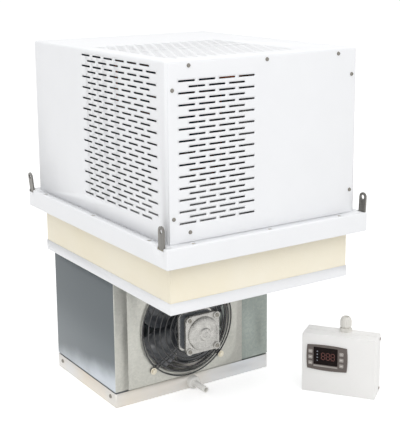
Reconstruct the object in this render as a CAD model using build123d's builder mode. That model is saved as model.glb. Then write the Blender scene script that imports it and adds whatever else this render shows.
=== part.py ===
from build123d import *
import os
from math import cos, radians, sin, tan

# Ceiling refrigeration unit: a condensing section in a white casing stands on a flange, an
# insulating plug fills the hole in the ceiling, and the evaporator hangs below it. The remote
# keypad box stands beside the unit. Millimetres, +Z up, +X to the right of the fan side, and
# -Y is the side that the evaporator fan faces. The origin is the middle of the plane on which
# the flange's lip lies on the ceiling.
os.makedirs("parts", exist_ok=True)

# Condensing section casing
casing_width = 420.0
casing_depth = 523.0
casing_head_room = 23.0
casing_sheet = 1.2
casing_bevel = 1.8
casing_return = 18.0
casing_sill = 24.0
panel_edge_bevel = 0.7

# Cooling slots in the casing
slot_length = 34.0
slot_width = 3.3
slot_row_pitch = 10.25
side_slot_pitch = 43.9
side_slot_columns = 6
side_slot_middle_from_front = 167.9
side_slot_top_margin = 12.3
side_slot_bottom_margin = 36.0
front_slot_pitch = 41.4
front_slot_columns = 4
front_slot_middle_from_left = 104.1
front_slot_top_margin = 35.5
front_slot_bottom_margin = 34.0
top_slot_middle_from_left = 165.0
top_slot_side_margin = 31.0

# Window in the right wall, through which the condenser breathes
coil_window_margin = 8.0

# Flange that rests on the ceiling
flange_overhang_side = 15.0
flange_overhang_front = 22.0
skirt_height = 37.0
skirt_bevel = 1.8
lip_width = 9.0
rim_hole_radius = 4.0
rim_hole_inset_side = 8.0
rim_hole_inset_front = 12.0
rim_hole_half_span_x = 164.0
rim_hole_half_span_y = 212.0

# Lifting straps, which stand in notches at the flange's corners
strap_width = 18.0
strap_thickness = 3.0
strap_rise = 38.0
strap_shoulder = 5.0
strap_hole_radius = 4.5
strap_hole_below_top = 9.0
strap_foot_length = 20.0
strap_outer_gap = 1.5
strap_corner_inset = 12.0
near_strap_corner_inset = 22.0
strap_notch_length = 21.0
strap_notch_width = 6.0
strap_notch_depth = 5.5
near_left_lean = 0.5
near_right_lean = 3.0
far_left_lean = 6.0
far_right_lean = 2.0

# Insulating plug and its lower plate
plug_inset = 10.0
foam_below_seat = 72.0
cover_height = 22.0
pipe_hole_radius = 17.0
pipe_hole_x = 150.0
pipe_hole_before_compressor = 20.0

# Evaporator housing
evaporator_sheet = 1.0
evaporator_width = 375.0
evaporator_depth = 263.0
evaporator_front_y = -16.0
evaporator_height = 268.0
left_return_width = 29.5
right_return_width = 67.5
tongue_reach = 18.0
tongue_lap = 8.0
back_return_width = 12.0
joint_gap = 0.3
tray_height = 30.0
tray_gap = 2.0

# Fans
shaft_radius = 4.0
shaft_clearance = 0.05
evaporator_fan_x = -19.0
evaporator_fan_above_floor = 142.0
evaporator_fan_radius = 97.0
evaporator_fan_hub_radius = 27.0
evaporator_fan_hub_length = 26.0
evaporator_fan_setback = 8.0
fan_tip_clearance = 4.0
collar_depth = 12.0
condenser_fan_offset = 1.5
condenser_fan_radius = 108.0
condenser_fan_hub_radius = 30.0
condenser_fan_hub_length = 24.0
condenser_fan_hub_gap = 14.0
condenser_fan_setback = 20.0
condenser_shaft_stub = 2.0
blade_count = 5
blade_thickness = 2.0
blade_root_sink = 2.0
blade_chord_share = 1.0
blade_camber_share = 0.05
blade_fold_share = 0.14
blade_pitch = 25.0
blade_lead_angle = 30.0
blade_trail_angle = -20.0
blade_root_share = 0.55
blade_waist_share = 0.75

# Evaporator fan motor and guard
guard_wire = 3.0
guard_outer_radius = 107.5
guard_inner_radius = 44.0
guard_depth = 27.0
guard_ring_count = 7
ring_sides = 24
guard_arm_pair_gap = 7.0
guard_arm_inner_radius = 31.0
guard_weld_gap = 0.2
guard_bolt_radius = 116.0
guard_eye_radius = 7.0
guard_bolt_size = 5.0
guard_bolt_height = 3.5
motor_square = 80.0
motor_corner = 9.0
motor_rear_thickness = 7.0
motor_core_square = 74.0
motor_core_thickness = 20.0
motor_front_thickness = 7.0
motor_cap_radius = 33.0
motor_cap_height = 7.0
motor_cap_taper = 15.0
motor_boss_height = 3.0
motor_boss_taper = 76.0
shaft_end_gap = 1.0
motor_lug_radius = 7.5
motor_lug_offset = 32.5
motor_lug_height = 3.0

# Evaporator and condenser coils
fin_groove_width = 2.0
fin_groove_depth = 3.0
fin_groove_pitch = 18.0
end_plate_thickness = 1.5
bend_tube_radius = 4.8
bend_spacing = 25.4
bends_per_end = 3
left_bend_share = 0.5
right_bend_share = 0.62
evaporator_coil_length = 265.0
evaporator_coil_depth = 62.0
evaporator_coil_back_gap = 7.0
evaporator_coil_left_gap = 21.5
evaporator_coil_top_gap = 6.0
evaporator_coil_tray_gap = 8.0
condenser_coil_length = 294.0
condenser_coil_thickness = 36.0
condenser_coil_height = 270.0
condenser_coil_wall_gap = 2.8
condenser_coil_front_gap = 38.0
condenser_coil_lift = 23.0
shroud_depth = 31.0

# Condenser fan motor and its bracket
condenser_motor_radius = 40.0
condenser_motor_length = 40.0
bracket_thickness = 2.0
bracket_width = 60.0
bracket_foot = 32.0
bracket_bore_radius = 9.0

# Compressor
compressor_left_gap = 70.8
compressor_back_gap = 42.3
compressor_radius = 78.0
compressor_height = 170.0
compressor_foot_rise = 10.0
compressor_foot_taper = 38.0
compressor_dome = [(14.0, 30.0), (10.0, 62.0)]
compressor_base_length = 190.0
compressor_base_width = 150.0
compressor_base_thickness = 3.0
compressor_mount_radius = 11.0
compressor_mount_height = 12.0
compressor_mount_inset = 15.0
terminal_cover_width = 50.0
terminal_cover_depth = 24.0
terminal_cover_height = 60.0
terminal_cover_above_base = 75.0

# Electrical box
electrical_box_x = 45.0
electrical_box_width = 110.0
electrical_box_depth = 48.0
electrical_box_height = 210.0
electrical_box_front_gap = 4.0
electrical_box_lid = 2.0
electrical_box_lid_overhang = 1.5

# Copper pipes, with flat sides and cut corners
pipe_sides = 8
bend_sides = 6
suction_radius = 5.0
discharge_radius = 4.0
liquid_radius = 3.0
capillary_radius = 1.6
suction_offset_x = 6.0
suction_offset_y = 8.0
suction_above_base = 63.0
suction_below_plug = 46.0
capillary_offset_x = 6.0
capillary_offset_y = 8.0
capillary_over_compressor = 13.0
capillary_below_plug = 86.0
discharge_offset_x = 20.0
discharge_offset_y = 10.0
discharge_below_coil_top = 14.0
discharge_front_gap = 14.0
liquid_above_coil_foot = 15.0
liquid_back_gap = 22.0
liquid_compressor_gap = 12.0
pipe_corner_cut = 9.0
tight_corner_cut = 5.0
drier_left_gap = 67.8
drier_front_gap = 99.3
drier_radius = 11.0
drier_length = 90.0
drier_above_base = 63.0
drier_neck_length = 8.0
drier_cone_taper = 45.0
drier_neck_radius = 5.0

# Cable glands in the back panel
gland_spacing = 44.0
back_gland_x = 120.0
back_gland_above_base = 42.0
back_gland_hole_radius = 10.0
back_gland_hex_radius = 13.5
back_gland_hex_length = 7.0
back_gland_bore_radius = 5.0
back_gland_stub_radius = 9.7
back_gland_stub_length = 10.0

# Screws of the casing and the tray
screw_head_radius = 4.2
screw_head_height = 2.2
panel_screw_inset = 10.0
side_screw_inset = 13.0
upper_screw_below_top = 50.0
lower_screw_above_base = 44.5
sill_screw_above_base = 17.3
tray_screw_below_top = 11.0
tray_screw_inset = 22.0

# Condensate drain
drain_x = -8.0
drain_above_floor = 15.0
drain_base_radius = 13.0
drain_base_length = 12.0
drain_base_sides = 20
drain_pipe_radius = 6.3
drain_bore_radius = 4.6
drain_pipe_reach = 54.0
drain_spigot_radius = 5.6
drain_hole_clearance = 0.3

# Remote keypad box, placed by the lower left corner of its front
control_left_x = 174.0
control_left_y = -153.0
control_turn = -54.0
control_width = 152.0
control_height = 126.0
control_cover_depth = 25.0
control_base_depth = 25.0
control_wall = 2.5
control_corner_cut = 1.6
control_edge_cut = 1.0
bezel_width = 82.0
bezel_height = 50.0
bezel_thickness = 3.0
bezel_bow = 2.2
bezel_side_bow = 1.5
bezel_from_left = 11.5
bezel_from_top = 24.0
window_width = 50.0
window_height = 37.0
window_thickness = 1.6
window_from_bezel_left = 13.5
window_from_bezel_top = 2.5
window_clearance = 0.1
button_width = 8.6
button_height = 7.8
button_clearance = 0.35
button_proud = 0.6
button_length = 2.8
button_pitch = 12.4
button_left_inset = 7.0
button_right_inset = 10.5
button_rows = 3
gland_from_left = 82.0
gland_hex_radius = 13.0
gland_hex_height = 8.0
gland_neck_radius = 8.6
gland_neck_height = 3.0
gland_nut_radius = 12.0
gland_nut_height = 20.0
gland_nut_skirt = 11.0
gland_nut_crown = [(6.0, 9.0), (3.0, 40.0)]
gland_bore_radius = 6.0
gland_stub_radius = 9.7
gland_stub_length = 9.0
gland_hole_clearance = 0.3
control_screw_radius = 3.2
control_screw_height = 1.0
control_screw_inset = 10.0
control_screw_from_back = 8.3
control_screw_sides = 8

# Numbers of flats on pieces too small to need round ones
small_sides = 12
nut_sides = 16
cap_sides = 24
shell_sides = 28
collar_sides = 32

# Places worked out from the sizes above
flange_width = casing_width + 2 * flange_overhang_side
flange_depth = casing_depth + 2 * flange_overhang_front
base_z = skirt_height
casing_height = condenser_coil_lift + condenser_coil_height + casing_head_room
casing_top = base_z + casing_height
wrap_depth = casing_depth - 2 * casing_sheet
compressor_x = -casing_width / 2 + casing_sheet + compressor_left_gap + compressor_radius
compressor_y = casing_depth / 2 - casing_sheet - compressor_back_gap - compressor_radius
pipe_hole_y = compressor_y - pipe_hole_before_compressor
plug_width = casing_width - 2 * plug_inset
plug_depth = casing_depth - 2 * plug_inset
plug_top = skirt_height - casing_sheet
foam_bottom = -foam_below_seat - cover_height + casing_sheet
plug_bottom = -foam_below_seat - cover_height
floor_z = plug_bottom - evaporator_height
tray_top = floor_z + tray_height
housing_bottom = tray_top + tray_gap
evaporator_left_x = -evaporator_width / 2
evaporator_right_x = evaporator_width / 2
evaporator_back_y = evaporator_front_y + evaporator_depth
evaporator_mid_y = evaporator_front_y + evaporator_depth / 2
evaporator_fan_z = floor_z + evaporator_fan_above_floor
fan_opening_radius = evaporator_fan_radius + fan_tip_clearance
fan_plate_left = evaporator_left_x + left_return_width + joint_gap
fan_plate_right = evaporator_right_x - right_return_width - joint_gap
coil_outer_x = casing_width / 2 - casing_sheet - condenser_coil_wall_gap
coil_inner_x = coil_outer_x - condenser_coil_thickness
coil_front_y = -casing_depth / 2 + condenser_coil_front_gap
coil_back_y = coil_front_y + condenser_coil_length
coil_bottom_z = base_z + condenser_coil_lift
coil_top_z = coil_bottom_z + condenser_coil_height
shroud_x = coil_inner_x - shroud_depth
coil_mid_x = (coil_inner_x + coil_outer_x) / 2
coil_mid_y = (coil_front_y + coil_back_y) / 2
coil_mid_z = (coil_bottom_z + coil_top_z) / 2
condenser_fan_y = coil_mid_y + condenser_fan_offset
condenser_fan_z = coil_mid_z

# Flange: a tray of folded sheet with a lip turned in under its skirt
with BuildPart() as flange_frame:
    with BuildSketch(Plane.XY):
        Rectangle(flange_width, flange_depth)
    extrude(amount=skirt_height)
    chamfer(flange_frame.edges().filter_by(Axis.Z), skirt_bevel)
    chamfer(flange_frame.faces().sort_by(Axis.Z)[-1].edges(), skirt_bevel)
    with BuildSketch(Plane.XY.offset(casing_sheet)):
        Rectangle(flange_width - 2 * casing_sheet, flange_depth - 2 * casing_sheet)
    extrude(amount=skirt_height - 2 * casing_sheet, mode=Mode.SUBTRACT)
    with BuildSketch(Plane.XY):
        Rectangle(flange_width - 2 * lip_width, flange_depth - 2 * lip_width)
    extrude(amount=casing_sheet, mode=Mode.SUBTRACT)
    rim_x = flange_width / 2 - rim_hole_inset_side
    rim_y = flange_depth / 2 - rim_hole_inset_front
    with BuildSketch(Plane.XY.offset(plug_top)):
        with GridLocations(2 * rim_hole_half_span_x, 2 * rim_y, 2, 2):
            Circle(rim_hole_radius)
        with GridLocations(2 * rim_x, 2 * rim_hole_half_span_y, 2, 2):
            Circle(rim_hole_radius)
        with Locations((0, rim_y), (0, -rim_y), (rim_x, 0), (-rim_x, 0)):
            Circle(rim_hole_radius)
        with Locations((pipe_hole_x, pipe_hole_y)):
            RegularPolygon(pipe_hole_radius, nut_sides)
    extrude(amount=casing_sheet, mode=Mode.SUBTRACT)
    strap_y = flange_depth / 2 - strap_corner_inset
    near_strap_y = -flange_depth / 2 + near_strap_corner_inset
    near_straps = [(-1, near_strap_y, near_left_lean), (1, -strap_y, near_right_lean)]
    far_straps = [(-1, strap_y, far_left_lean), (1, strap_y, far_right_lean)]
    strap_places = near_straps + far_straps
    with BuildSketch(Plane.XY.offset(skirt_height - strap_notch_depth)):
        for side, y, lean in strap_places:
            with Locations((side * (flange_width - strap_notch_width) / 2, y)):
                Rectangle(strap_notch_width, strap_notch_length)
    extrude(amount=strap_notch_depth, mode=Mode.SUBTRACT)
flange_frame.part.label = "flange_frame"
export_step(flange_frame.part, "parts/flange_frame.step")


# Straps: a foot under the flange's plate and an upright, which the use of the unit bent a little
foot_z = plug_top - strap_thickness
strap_reach = strap_rise + strap_thickness / 2
with BuildPart() as lifting_straps:
    for side, y, lean in strap_places:
        outer_x = side * (flange_width / 2 - strap_outer_gap)
        with BuildSketch(Plane.XY.offset(foot_z)):
            with Locations((outer_x - side * strap_foot_length / 2, y)):
                Rectangle(strap_foot_length, strap_width)
        extrude(amount=strap_thickness)
        with BuildSketch(Plane.XY.offset(foot_z)):
            with Locations((outer_x - side * strap_thickness / 2, y)):
                Rectangle(strap_thickness, strap_width)
        extrude(amount=skirt_height - foot_z)
        strap_face = Plane(
            origin=(outer_x, y, skirt_height - strap_thickness / 2),
            x_dir=(0, side, 0),
            z_dir=(side * cos(radians(lean)), 0, -sin(radians(lean))),
        )
        with BuildSketch(strap_face):
            with BuildLine():
                Polyline(
                    (-strap_width / 2, 0),
                    (strap_width / 2, 0),
                    (strap_width / 2, strap_reach - strap_shoulder),
                    (strap_width / 2 - strap_shoulder, strap_reach),
                    (strap_shoulder - strap_width / 2, strap_reach),
                    (-strap_width / 2, strap_reach - strap_shoulder),
                    close=True,
                )
            make_face()
            with Locations((0, strap_reach - strap_hole_below_top)):
                Circle(strap_hole_radius, mode=Mode.SUBTRACT)
        extrude(amount=-strap_thickness)
lifting_straps.part.label = "lifting_straps"
export_step(lifting_straps.part, "parts/lifting_straps.step")


def stacked_prisms(sides, radius, levels):
    """A many-sided body that stands on the ground plane, each level with its height and taper."""
    with BuildPart() as body:
        height = 0
        for rise, taper in levels:
            with BuildSketch(Plane.XY.offset(height)):
                RegularPolygon(radius, sides)
            extrude(amount=rise, taper=taper)
            height += rise
            radius -= rise * tan(radians(taper)) / cos(radians(180 / sides))
    return body.part


def slot_row_pairs(top_margin, bottom_margin):
    """How many pairs of slot rows follow the top row between these margins of the casing."""
    return int((casing_height - top_margin - bottom_margin) // (2 * slot_row_pitch))


# Casing: side walls and top in one sheet, with returns that the end panels are screwed to
with BuildPart() as casing_wrap:
    with BuildSketch(Plane.XY.offset(base_z)):
        Rectangle(casing_width, wrap_depth)
    extrude(amount=casing_height)
    chamfer(casing_wrap.edges().filter_by(Axis.Z), casing_bevel)
    chamfer(casing_wrap.faces().sort_by(Axis.Z)[-1].edges(), casing_bevel)
    with BuildSketch(Plane.XY.offset(base_z)):
        Rectangle(casing_width - 2 * casing_sheet, wrap_depth - 2 * casing_sheet)
    extrude(amount=casing_height - casing_sheet, mode=Mode.SUBTRACT)
    window_height_xz = casing_height - casing_return - casing_sill
    with BuildSketch(Plane.XZ.offset(-casing_depth / 2)):
        with Locations((0, base_z + casing_sill + window_height_xz / 2)):
            Rectangle(casing_width - 2 * casing_return, window_height_xz)
    extrude(amount=casing_depth, mode=Mode.SUBTRACT)
    with BuildSketch(Plane.YZ.offset(casing_width / 2 - 2 * casing_sheet)):
        with Locations((coil_mid_y, coil_mid_z)):
            Rectangle(
                condenser_coil_length - 2 * coil_window_margin,
                condenser_coil_height - 2 * coil_window_margin,
            )
    extrude(amount=2 * casing_sheet, mode=Mode.SUBTRACT)
    side_top_row = casing_top - side_slot_top_margin
    side_pairs = slot_row_pairs(side_slot_top_margin, side_slot_bottom_margin)
    side_mid_z = side_top_row - side_pairs * slot_row_pitch
    side_mid_y = side_slot_middle_from_front - casing_depth / 2
    with BuildSketch(Plane.YZ.offset(-casing_width / 2)):
        with Locations((side_mid_y + side_slot_pitch / 4, side_mid_z)):
            with GridLocations(side_slot_pitch, 2 * slot_row_pitch, side_slot_columns, side_pairs + 1):
                Rectangle(slot_length, slot_width)
        with Locations((side_mid_y - side_slot_pitch / 4, side_mid_z)):
            with GridLocations(side_slot_pitch, 2 * slot_row_pitch, side_slot_columns, side_pairs):
                Rectangle(slot_length, slot_width)
    extrude(amount=casing_sheet, mode=Mode.SUBTRACT)
    top_run = 2 * (top_slot_middle_from_left - top_slot_side_margin)
    top_pairs = int(top_run // (2 * slot_row_pitch))
    top_mid_x = top_slot_middle_from_left - casing_width / 2
    with BuildSketch(Plane.XY.offset(casing_top)):
        with Locations((top_mid_x, side_mid_y + side_slot_pitch / 4)):
            with GridLocations(2 * slot_row_pitch, side_slot_pitch, top_pairs + 1, side_slot_columns):
                Rectangle(slot_width, slot_length)
        with Locations((top_mid_x, side_mid_y - side_slot_pitch / 4)):
            with GridLocations(2 * slot_row_pitch, side_slot_pitch, top_pairs, side_slot_columns):
                Rectangle(slot_width, slot_length)
    extrude(amount=-casing_sheet, mode=Mode.SUBTRACT)
casing_wrap.part.label = "casing_wrap"
export_step(casing_wrap.part, "parts/casing_wrap.step")

with BuildPart() as front_panel:
    with BuildSketch(Plane.XZ.offset(casing_depth / 2 - casing_sheet)):
        with Locations((0, base_z + casing_height / 2)):
            Rectangle(casing_width, casing_height)
    extrude(amount=casing_sheet)
    chamfer(front_panel.faces().sort_by(Axis.Y)[0].edges(), panel_edge_bevel)
    front_top_row = casing_top - front_slot_top_margin
    front_pairs = slot_row_pairs(front_slot_top_margin, front_slot_bottom_margin)
    front_mid_z = front_top_row - front_pairs * slot_row_pitch
    with BuildSketch(Plane.XZ.offset(casing_depth / 2 - casing_sheet)):
        with Locations((front_slot_middle_from_left - casing_width / 2, front_mid_z)):
            with GridLocations(front_slot_pitch, 2 * slot_row_pitch, front_slot_columns, front_pairs + 1):
                Rectangle(slot_length, slot_width)
            with GridLocations(front_slot_pitch, 2 * slot_row_pitch, front_slot_columns - 1, front_pairs):
                Rectangle(slot_length, slot_width)
    extrude(amount=casing_sheet, mode=Mode.SUBTRACT)
front_panel.part.label = "front_panel"
export_step(front_panel.part, "parts/front_panel.step")

back_gland_z = base_z + back_gland_above_base
back_gland_points = [(back_gland_x, back_gland_z), (back_gland_x + gland_spacing, back_gland_z)]
with BuildPart() as back_panel:
    with BuildSketch(Plane.XZ.offset(-casing_depth / 2)):
        with Locations((0, base_z + casing_height / 2)):
            Rectangle(casing_width, casing_height)
    extrude(amount=casing_sheet)
    chamfer(back_panel.faces().sort_by(Axis.Y)[-1].edges(), panel_edge_bevel)
    with BuildSketch(Plane.XZ.offset(-casing_depth / 2)):
        with Locations(*back_gland_points):
            RegularPolygon(back_gland_hole_radius, small_sides)
    extrude(amount=casing_sheet, mode=Mode.SUBTRACT)
back_panel.part.label = "back_panel"
export_step(back_panel.part, "parts/back_panel.step")

with BuildPart() as cable_glands:
    with BuildSketch(Plane.XZ.offset(-casing_depth / 2)):
        with Locations(*back_gland_points):
            RegularPolygon(back_gland_hex_radius, 6)
    extrude(amount=-back_gland_hex_length)
    with BuildSketch(Plane.XZ.offset(-casing_depth / 2)):
        with Locations(*back_gland_points):
            RegularPolygon(back_gland_stub_radius, small_sides)
    extrude(amount=back_gland_stub_length)
    with BuildSketch(Plane.XZ.offset(-casing_depth / 2 - back_gland_hex_length)):
        with Locations(*back_gland_points):
            RegularPolygon(back_gland_bore_radius, small_sides)
    extrude(amount=back_gland_hex_length + back_gland_stub_length, mode=Mode.SUBTRACT)
cable_glands.part.label = "cable_glands"
export_step(cable_glands.part, "parts/cable_glands.step")

# Screws: the front has three along the top, two down each side and one at the lower left
top_screw_z = casing_top - panel_screw_inset
side_screw_x = casing_width / 2 - side_screw_inset
upper_screw_z = casing_top - upper_screw_below_top
lower_screw_z = base_z + lower_screw_above_base
front_screw_points = [
    (-rim_hole_half_span_x, top_screw_z),
    (0, top_screw_z),
    (rim_hole_half_span_x, top_screw_z),
    (-side_screw_x, upper_screw_z),
    (-side_screw_x, lower_screw_z),
    (side_screw_x, upper_screw_z),
    (side_screw_x, lower_screw_z),
    (-rim_hole_half_span_x, base_z + sill_screw_above_base),
]
with BuildPart() as casing_screws:
    with BuildSketch(Plane.XZ.offset(casing_depth / 2)):
        with Locations(*front_screw_points):
            RegularPolygon(screw_head_radius, 6)
    extrude(amount=screw_head_height)
    with BuildSketch(Plane.XZ.offset(-casing_depth / 2)):
        with Locations(*front_screw_points):
            RegularPolygon(screw_head_radius, 6)
    extrude(amount=-screw_head_height)
casing_screws.part.label = "casing_screws"
export_step(casing_screws.part, "parts/casing_screws.step")

# Insulating plug between the two sections
with BuildPart() as plug_foam:
    with BuildSketch(Plane.XY.offset(foam_bottom)):
        Rectangle(plug_width, plug_depth)
        with Locations((pipe_hole_x, pipe_hole_y)):
            RegularPolygon(pipe_hole_radius, nut_sides, mode=Mode.SUBTRACT)
    extrude(amount=plug_top - foam_bottom)
plug_foam.part.label = "plug_foam"
export_step(plug_foam.part, "parts/plug_foam.step")

with BuildPart() as plug_cover:
    with BuildSketch(Plane.XY.offset(plug_bottom)):
        Rectangle(plug_width + 2 * casing_sheet, plug_depth + 2 * casing_sheet)
    extrude(amount=cover_height)
    with BuildSketch(Plane.XY.offset(foam_bottom)):
        Rectangle(plug_width, plug_depth)
    extrude(amount=cover_height, mode=Mode.SUBTRACT)
    with BuildSketch(Plane.XY.offset(plug_bottom)):
        with Locations((pipe_hole_x, pipe_hole_y)):
            RegularPolygon(pipe_hole_radius, nut_sides)
    extrude(amount=casing_sheet, mode=Mode.SUBTRACT)
plug_cover.part.label = "plug_cover"
export_step(plug_cover.part, "parts/plug_cover.step")

# Compressor, on rubber mounts at the back of the base
compressor_base_z = base_z + compressor_mount_height
shell_bottom = compressor_base_z + compressor_base_thickness
shell_parting = Location((compressor_x, compressor_y, shell_bottom + compressor_height / 2))
shell_half = compressor_height / 2
upper_wall = shell_half - sum(rise for rise, taper in compressor_dome)
upper_shell = stacked_prisms(shell_sides, compressor_radius, [(upper_wall, 0), *compressor_dome])
shell_foot = [(shell_half - compressor_foot_rise, 0), (compressor_foot_rise, compressor_foot_taper)]
lower_shell = stacked_prisms(shell_sides, compressor_radius, shell_foot)
compressor_shell = shell_parting * (upper_shell + lower_shell.mirror(Plane.XY))
compressor_shell.label = "compressor_shell"
export_step(compressor_shell, "parts/compressor_shell.step")

mount_span_x = compressor_base_length - 2 * compressor_mount_inset
mount_span_y = compressor_base_width - 2 * compressor_mount_inset
compressor_centre = Plane((compressor_x, compressor_y, base_z))
with BuildPart() as compressor_base:
    with BuildSketch(compressor_centre.offset(compressor_mount_height)):
        Rectangle(compressor_base_length, compressor_base_width)
    extrude(amount=compressor_base_thickness)
compressor_base.part.label = "compressor_base"
export_step(compressor_base.part, "parts/compressor_base.step")

with BuildPart() as compressor_mounts:
    with BuildSketch(compressor_centre):
        with GridLocations(mount_span_x, mount_span_y, 2, 2):
            RegularPolygon(compressor_mount_radius, small_sides)
    extrude(amount=compressor_mount_height)
compressor_mounts.part.label = "compressor_mounts"
export_step(compressor_mounts.part, "parts/compressor_mounts.step")

terminal_back_y = compressor_y - compressor_radius - joint_gap
with BuildPart() as compressor_terminal_cover:
    with BuildSketch(Plane.XZ.offset(-terminal_back_y)):
        with Locations((compressor_x, base_z + terminal_cover_above_base + terminal_cover_height / 2)):
            Rectangle(terminal_cover_width, terminal_cover_height)
    extrude(amount=terminal_cover_depth)
compressor_terminal_cover.part.label = "compressor_terminal_cover"
export_step(compressor_terminal_cover.part, "parts/compressor_terminal_cover.step")


def groove_count(length):
    """How many fin grooves fit along a coil of this length."""
    return int((length - fin_groove_pitch) // fin_groove_pitch)


def pipe(radius, sides, points, corner_cut):
    """A tube with flat sides along straight runs, each corner cut off at the given length."""
    bends = zip(points, points[1:], points[2:])
    path_points = [points[0]]
    for before, corner, after in bends:
        path_points.append(corner + (before - corner).normalized() * corner_cut)
        path_points.append(corner + (after - corner).normalized() * corner_cut)
    path_points.append(points[-1])
    with BuildPart() as tube:
        with BuildLine() as path:
            Polyline(*path_points)
        with BuildSketch(Plane(origin=points[0], z_dir=points[1] - points[0])):
            RegularPolygon(radius, sides)
        sweep(path=path.wires()[0], transition=Transition.RIGHT)
    return tube.part


def return_bend(start, spacing, outward):
    """A U of tube from start to start + spacing, standing out along outward."""
    reach = outward * (spacing.length / 2)
    points = [start, start + reach, start + spacing + reach, start + spacing]
    return pipe(bend_tube_radius, bend_sides, points, spacing.length / 4)


# Condenser coil behind the window in the right wall
with BuildPart() as condenser_fins:
    with BuildSketch(Plane.YZ.offset(coil_inner_x)):
        with Locations((coil_mid_y, coil_mid_z)):
            Rectangle(condenser_coil_length, condenser_coil_height)
    extrude(amount=condenser_coil_thickness)
    with BuildSketch(Plane.YZ.offset(coil_outer_x)):
        with Locations((coil_mid_y, coil_mid_z)):
            with GridLocations(fin_groove_pitch, 1, groove_count(condenser_coil_length), 1):
                Rectangle(fin_groove_width, condenser_coil_height)
    extrude(amount=-fin_groove_depth, mode=Mode.SUBTRACT)
condenser_fins.part.label = "condenser_fins"
export_step(condenser_fins.part, "parts/condenser_fins.step")

with BuildPart() as condenser_end_plates:
    for end_y, outward in ((coil_front_y, 1), (coil_back_y, -1)):
        with BuildSketch(Plane.XZ.offset(-end_y)):
            with Locations((coil_mid_x, coil_mid_z - condenser_coil_lift / 2)):
                Rectangle(condenser_coil_thickness, condenser_coil_height + condenser_coil_lift)
        extrude(amount=outward * end_plate_thickness)
condenser_end_plates.part.label = "condenser_end_plates"
export_step(condenser_end_plates.part, "parts/condenser_end_plates.step")

bend_pitch_z = condenser_coil_height / bends_per_end
with BuildPart() as condenser_return_bends:
    front_end = (coil_front_y - end_plate_thickness, -1)
    back_end = (coil_back_y + end_plate_thickness, 1)
    for end_y, outward in (front_end, back_end):
        for row in range(bends_per_end):
            bend_z = coil_bottom_z + (row + left_bend_share) * bend_pitch_z - bend_spacing / 2
            start = Vector(coil_mid_x, end_y, bend_z)
            add(return_bend(start, Vector(0, 0, bend_spacing), Vector(0, outward, 0)))
condenser_return_bends.part.label = "condenser_return_bends"
export_step(condenser_return_bends.part, "parts/condenser_return_bends.step")

shroud_opening_radius = condenser_fan_radius + fan_tip_clearance
with BuildPart() as condenser_shroud:
    with BuildSketch(Plane.YZ.offset(shroud_x)):
        with Locations((coil_mid_y, coil_mid_z)):
            Rectangle(condenser_coil_length, condenser_coil_height)
    extrude(amount=shroud_depth)
    with BuildSketch(Plane.YZ.offset(shroud_x + casing_sheet)):
        with Locations((coil_mid_y, coil_mid_z)):
            Rectangle(condenser_coil_length - 2 * casing_sheet, condenser_coil_height - 2 * casing_sheet)
    extrude(amount=shroud_depth - casing_sheet, mode=Mode.SUBTRACT)
    with BuildSketch(Plane.YZ.offset(shroud_x)):
        with Locations((condenser_fan_y, condenser_fan_z)):
            RegularPolygon(shroud_opening_radius, collar_sides)
    extrude(amount=casing_sheet, mode=Mode.SUBTRACT)
condenser_shroud.part.label = "condenser_shroud"
export_step(condenser_shroud.part, "parts/condenser_shroud.step")


def fan_blade(hub_radius, hub_length, tip_radius):
    """One blade along +X: a curved, pitched plate, cut to its swept outline as seen along the axis."""
    half_chord = tip_radius * blade_chord_share / 2
    camber = tip_radius * blade_camber_share
    fold = tip_radius * blade_fold_share
    root = hub_radius - blade_root_sink
    pitch = radians(blade_pitch)
    chord_plane = Plane(
        origin=(root, 0, hub_length / 2), x_dir=(0, cos(pitch), sin(pitch)), z_dir=(1, 0, 0)
    )
    lead = radians(blade_lead_angle)
    trail = radians(blade_trail_angle)
    middle = (lead + trail) / 2
    root_half = hub_radius * blade_root_share
    waist = (root + tip_radius) / 2
    with BuildPart() as blade:
        with BuildSketch(chord_plane):
            with BuildLine():
                Polyline(
                    (-half_chord, 0),
                    (-fold, camber),
                    (fold, camber),
                    (half_chord, 0),
                    (half_chord, blade_thickness),
                    (fold, camber + blade_thickness),
                    (-fold, camber + blade_thickness),
                    (-half_chord, blade_thickness),
                    close=True,
                )
            make_face()
        extrude(amount=tip_radius)
        with BuildSketch(Plane.XY.offset(-hub_length)):
            with BuildLine():
                lead_tip = (tip_radius * cos(lead), tip_radius * sin(lead))
                trail_tip = (tip_radius * cos(trail), tip_radius * sin(trail))
                waist_point = (waist, waist * tan(lead) * blade_waist_share)
                Polyline((root, -root_half), (root, root_half), waist_point, lead_tip)
                ThreePointArc(lead_tip, (tip_radius * cos(middle), tip_radius * sin(middle)), trail_tip)
                Line(trail_tip, (root, -root_half))
            make_face()
        extrude(amount=3 * hub_length, mode=Mode.INTERSECT)
    return blade.part


def axial_fan(axis_plane, hub_radius, hub_length, tip_radius, shaft_back, shaft_front):
    """Hub, shaft and blades about the plane's z axis, with the back of the hub at its origin."""
    blade = fan_blade(hub_radius, hub_length, tip_radius)
    with BuildPart() as fan:
        with BuildSketch(Plane.XY):
            RegularPolygon(hub_radius, cap_sides)
        extrude(amount=hub_length)
        with BuildSketch(Plane.XY.offset(-shaft_back)):
            Circle(shaft_radius)
        extrude(amount=shaft_back + hub_length + shaft_front)
        with PolarLocations(0, blade_count):
            add(blade)
    return axis_plane.location * fan.part


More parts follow.
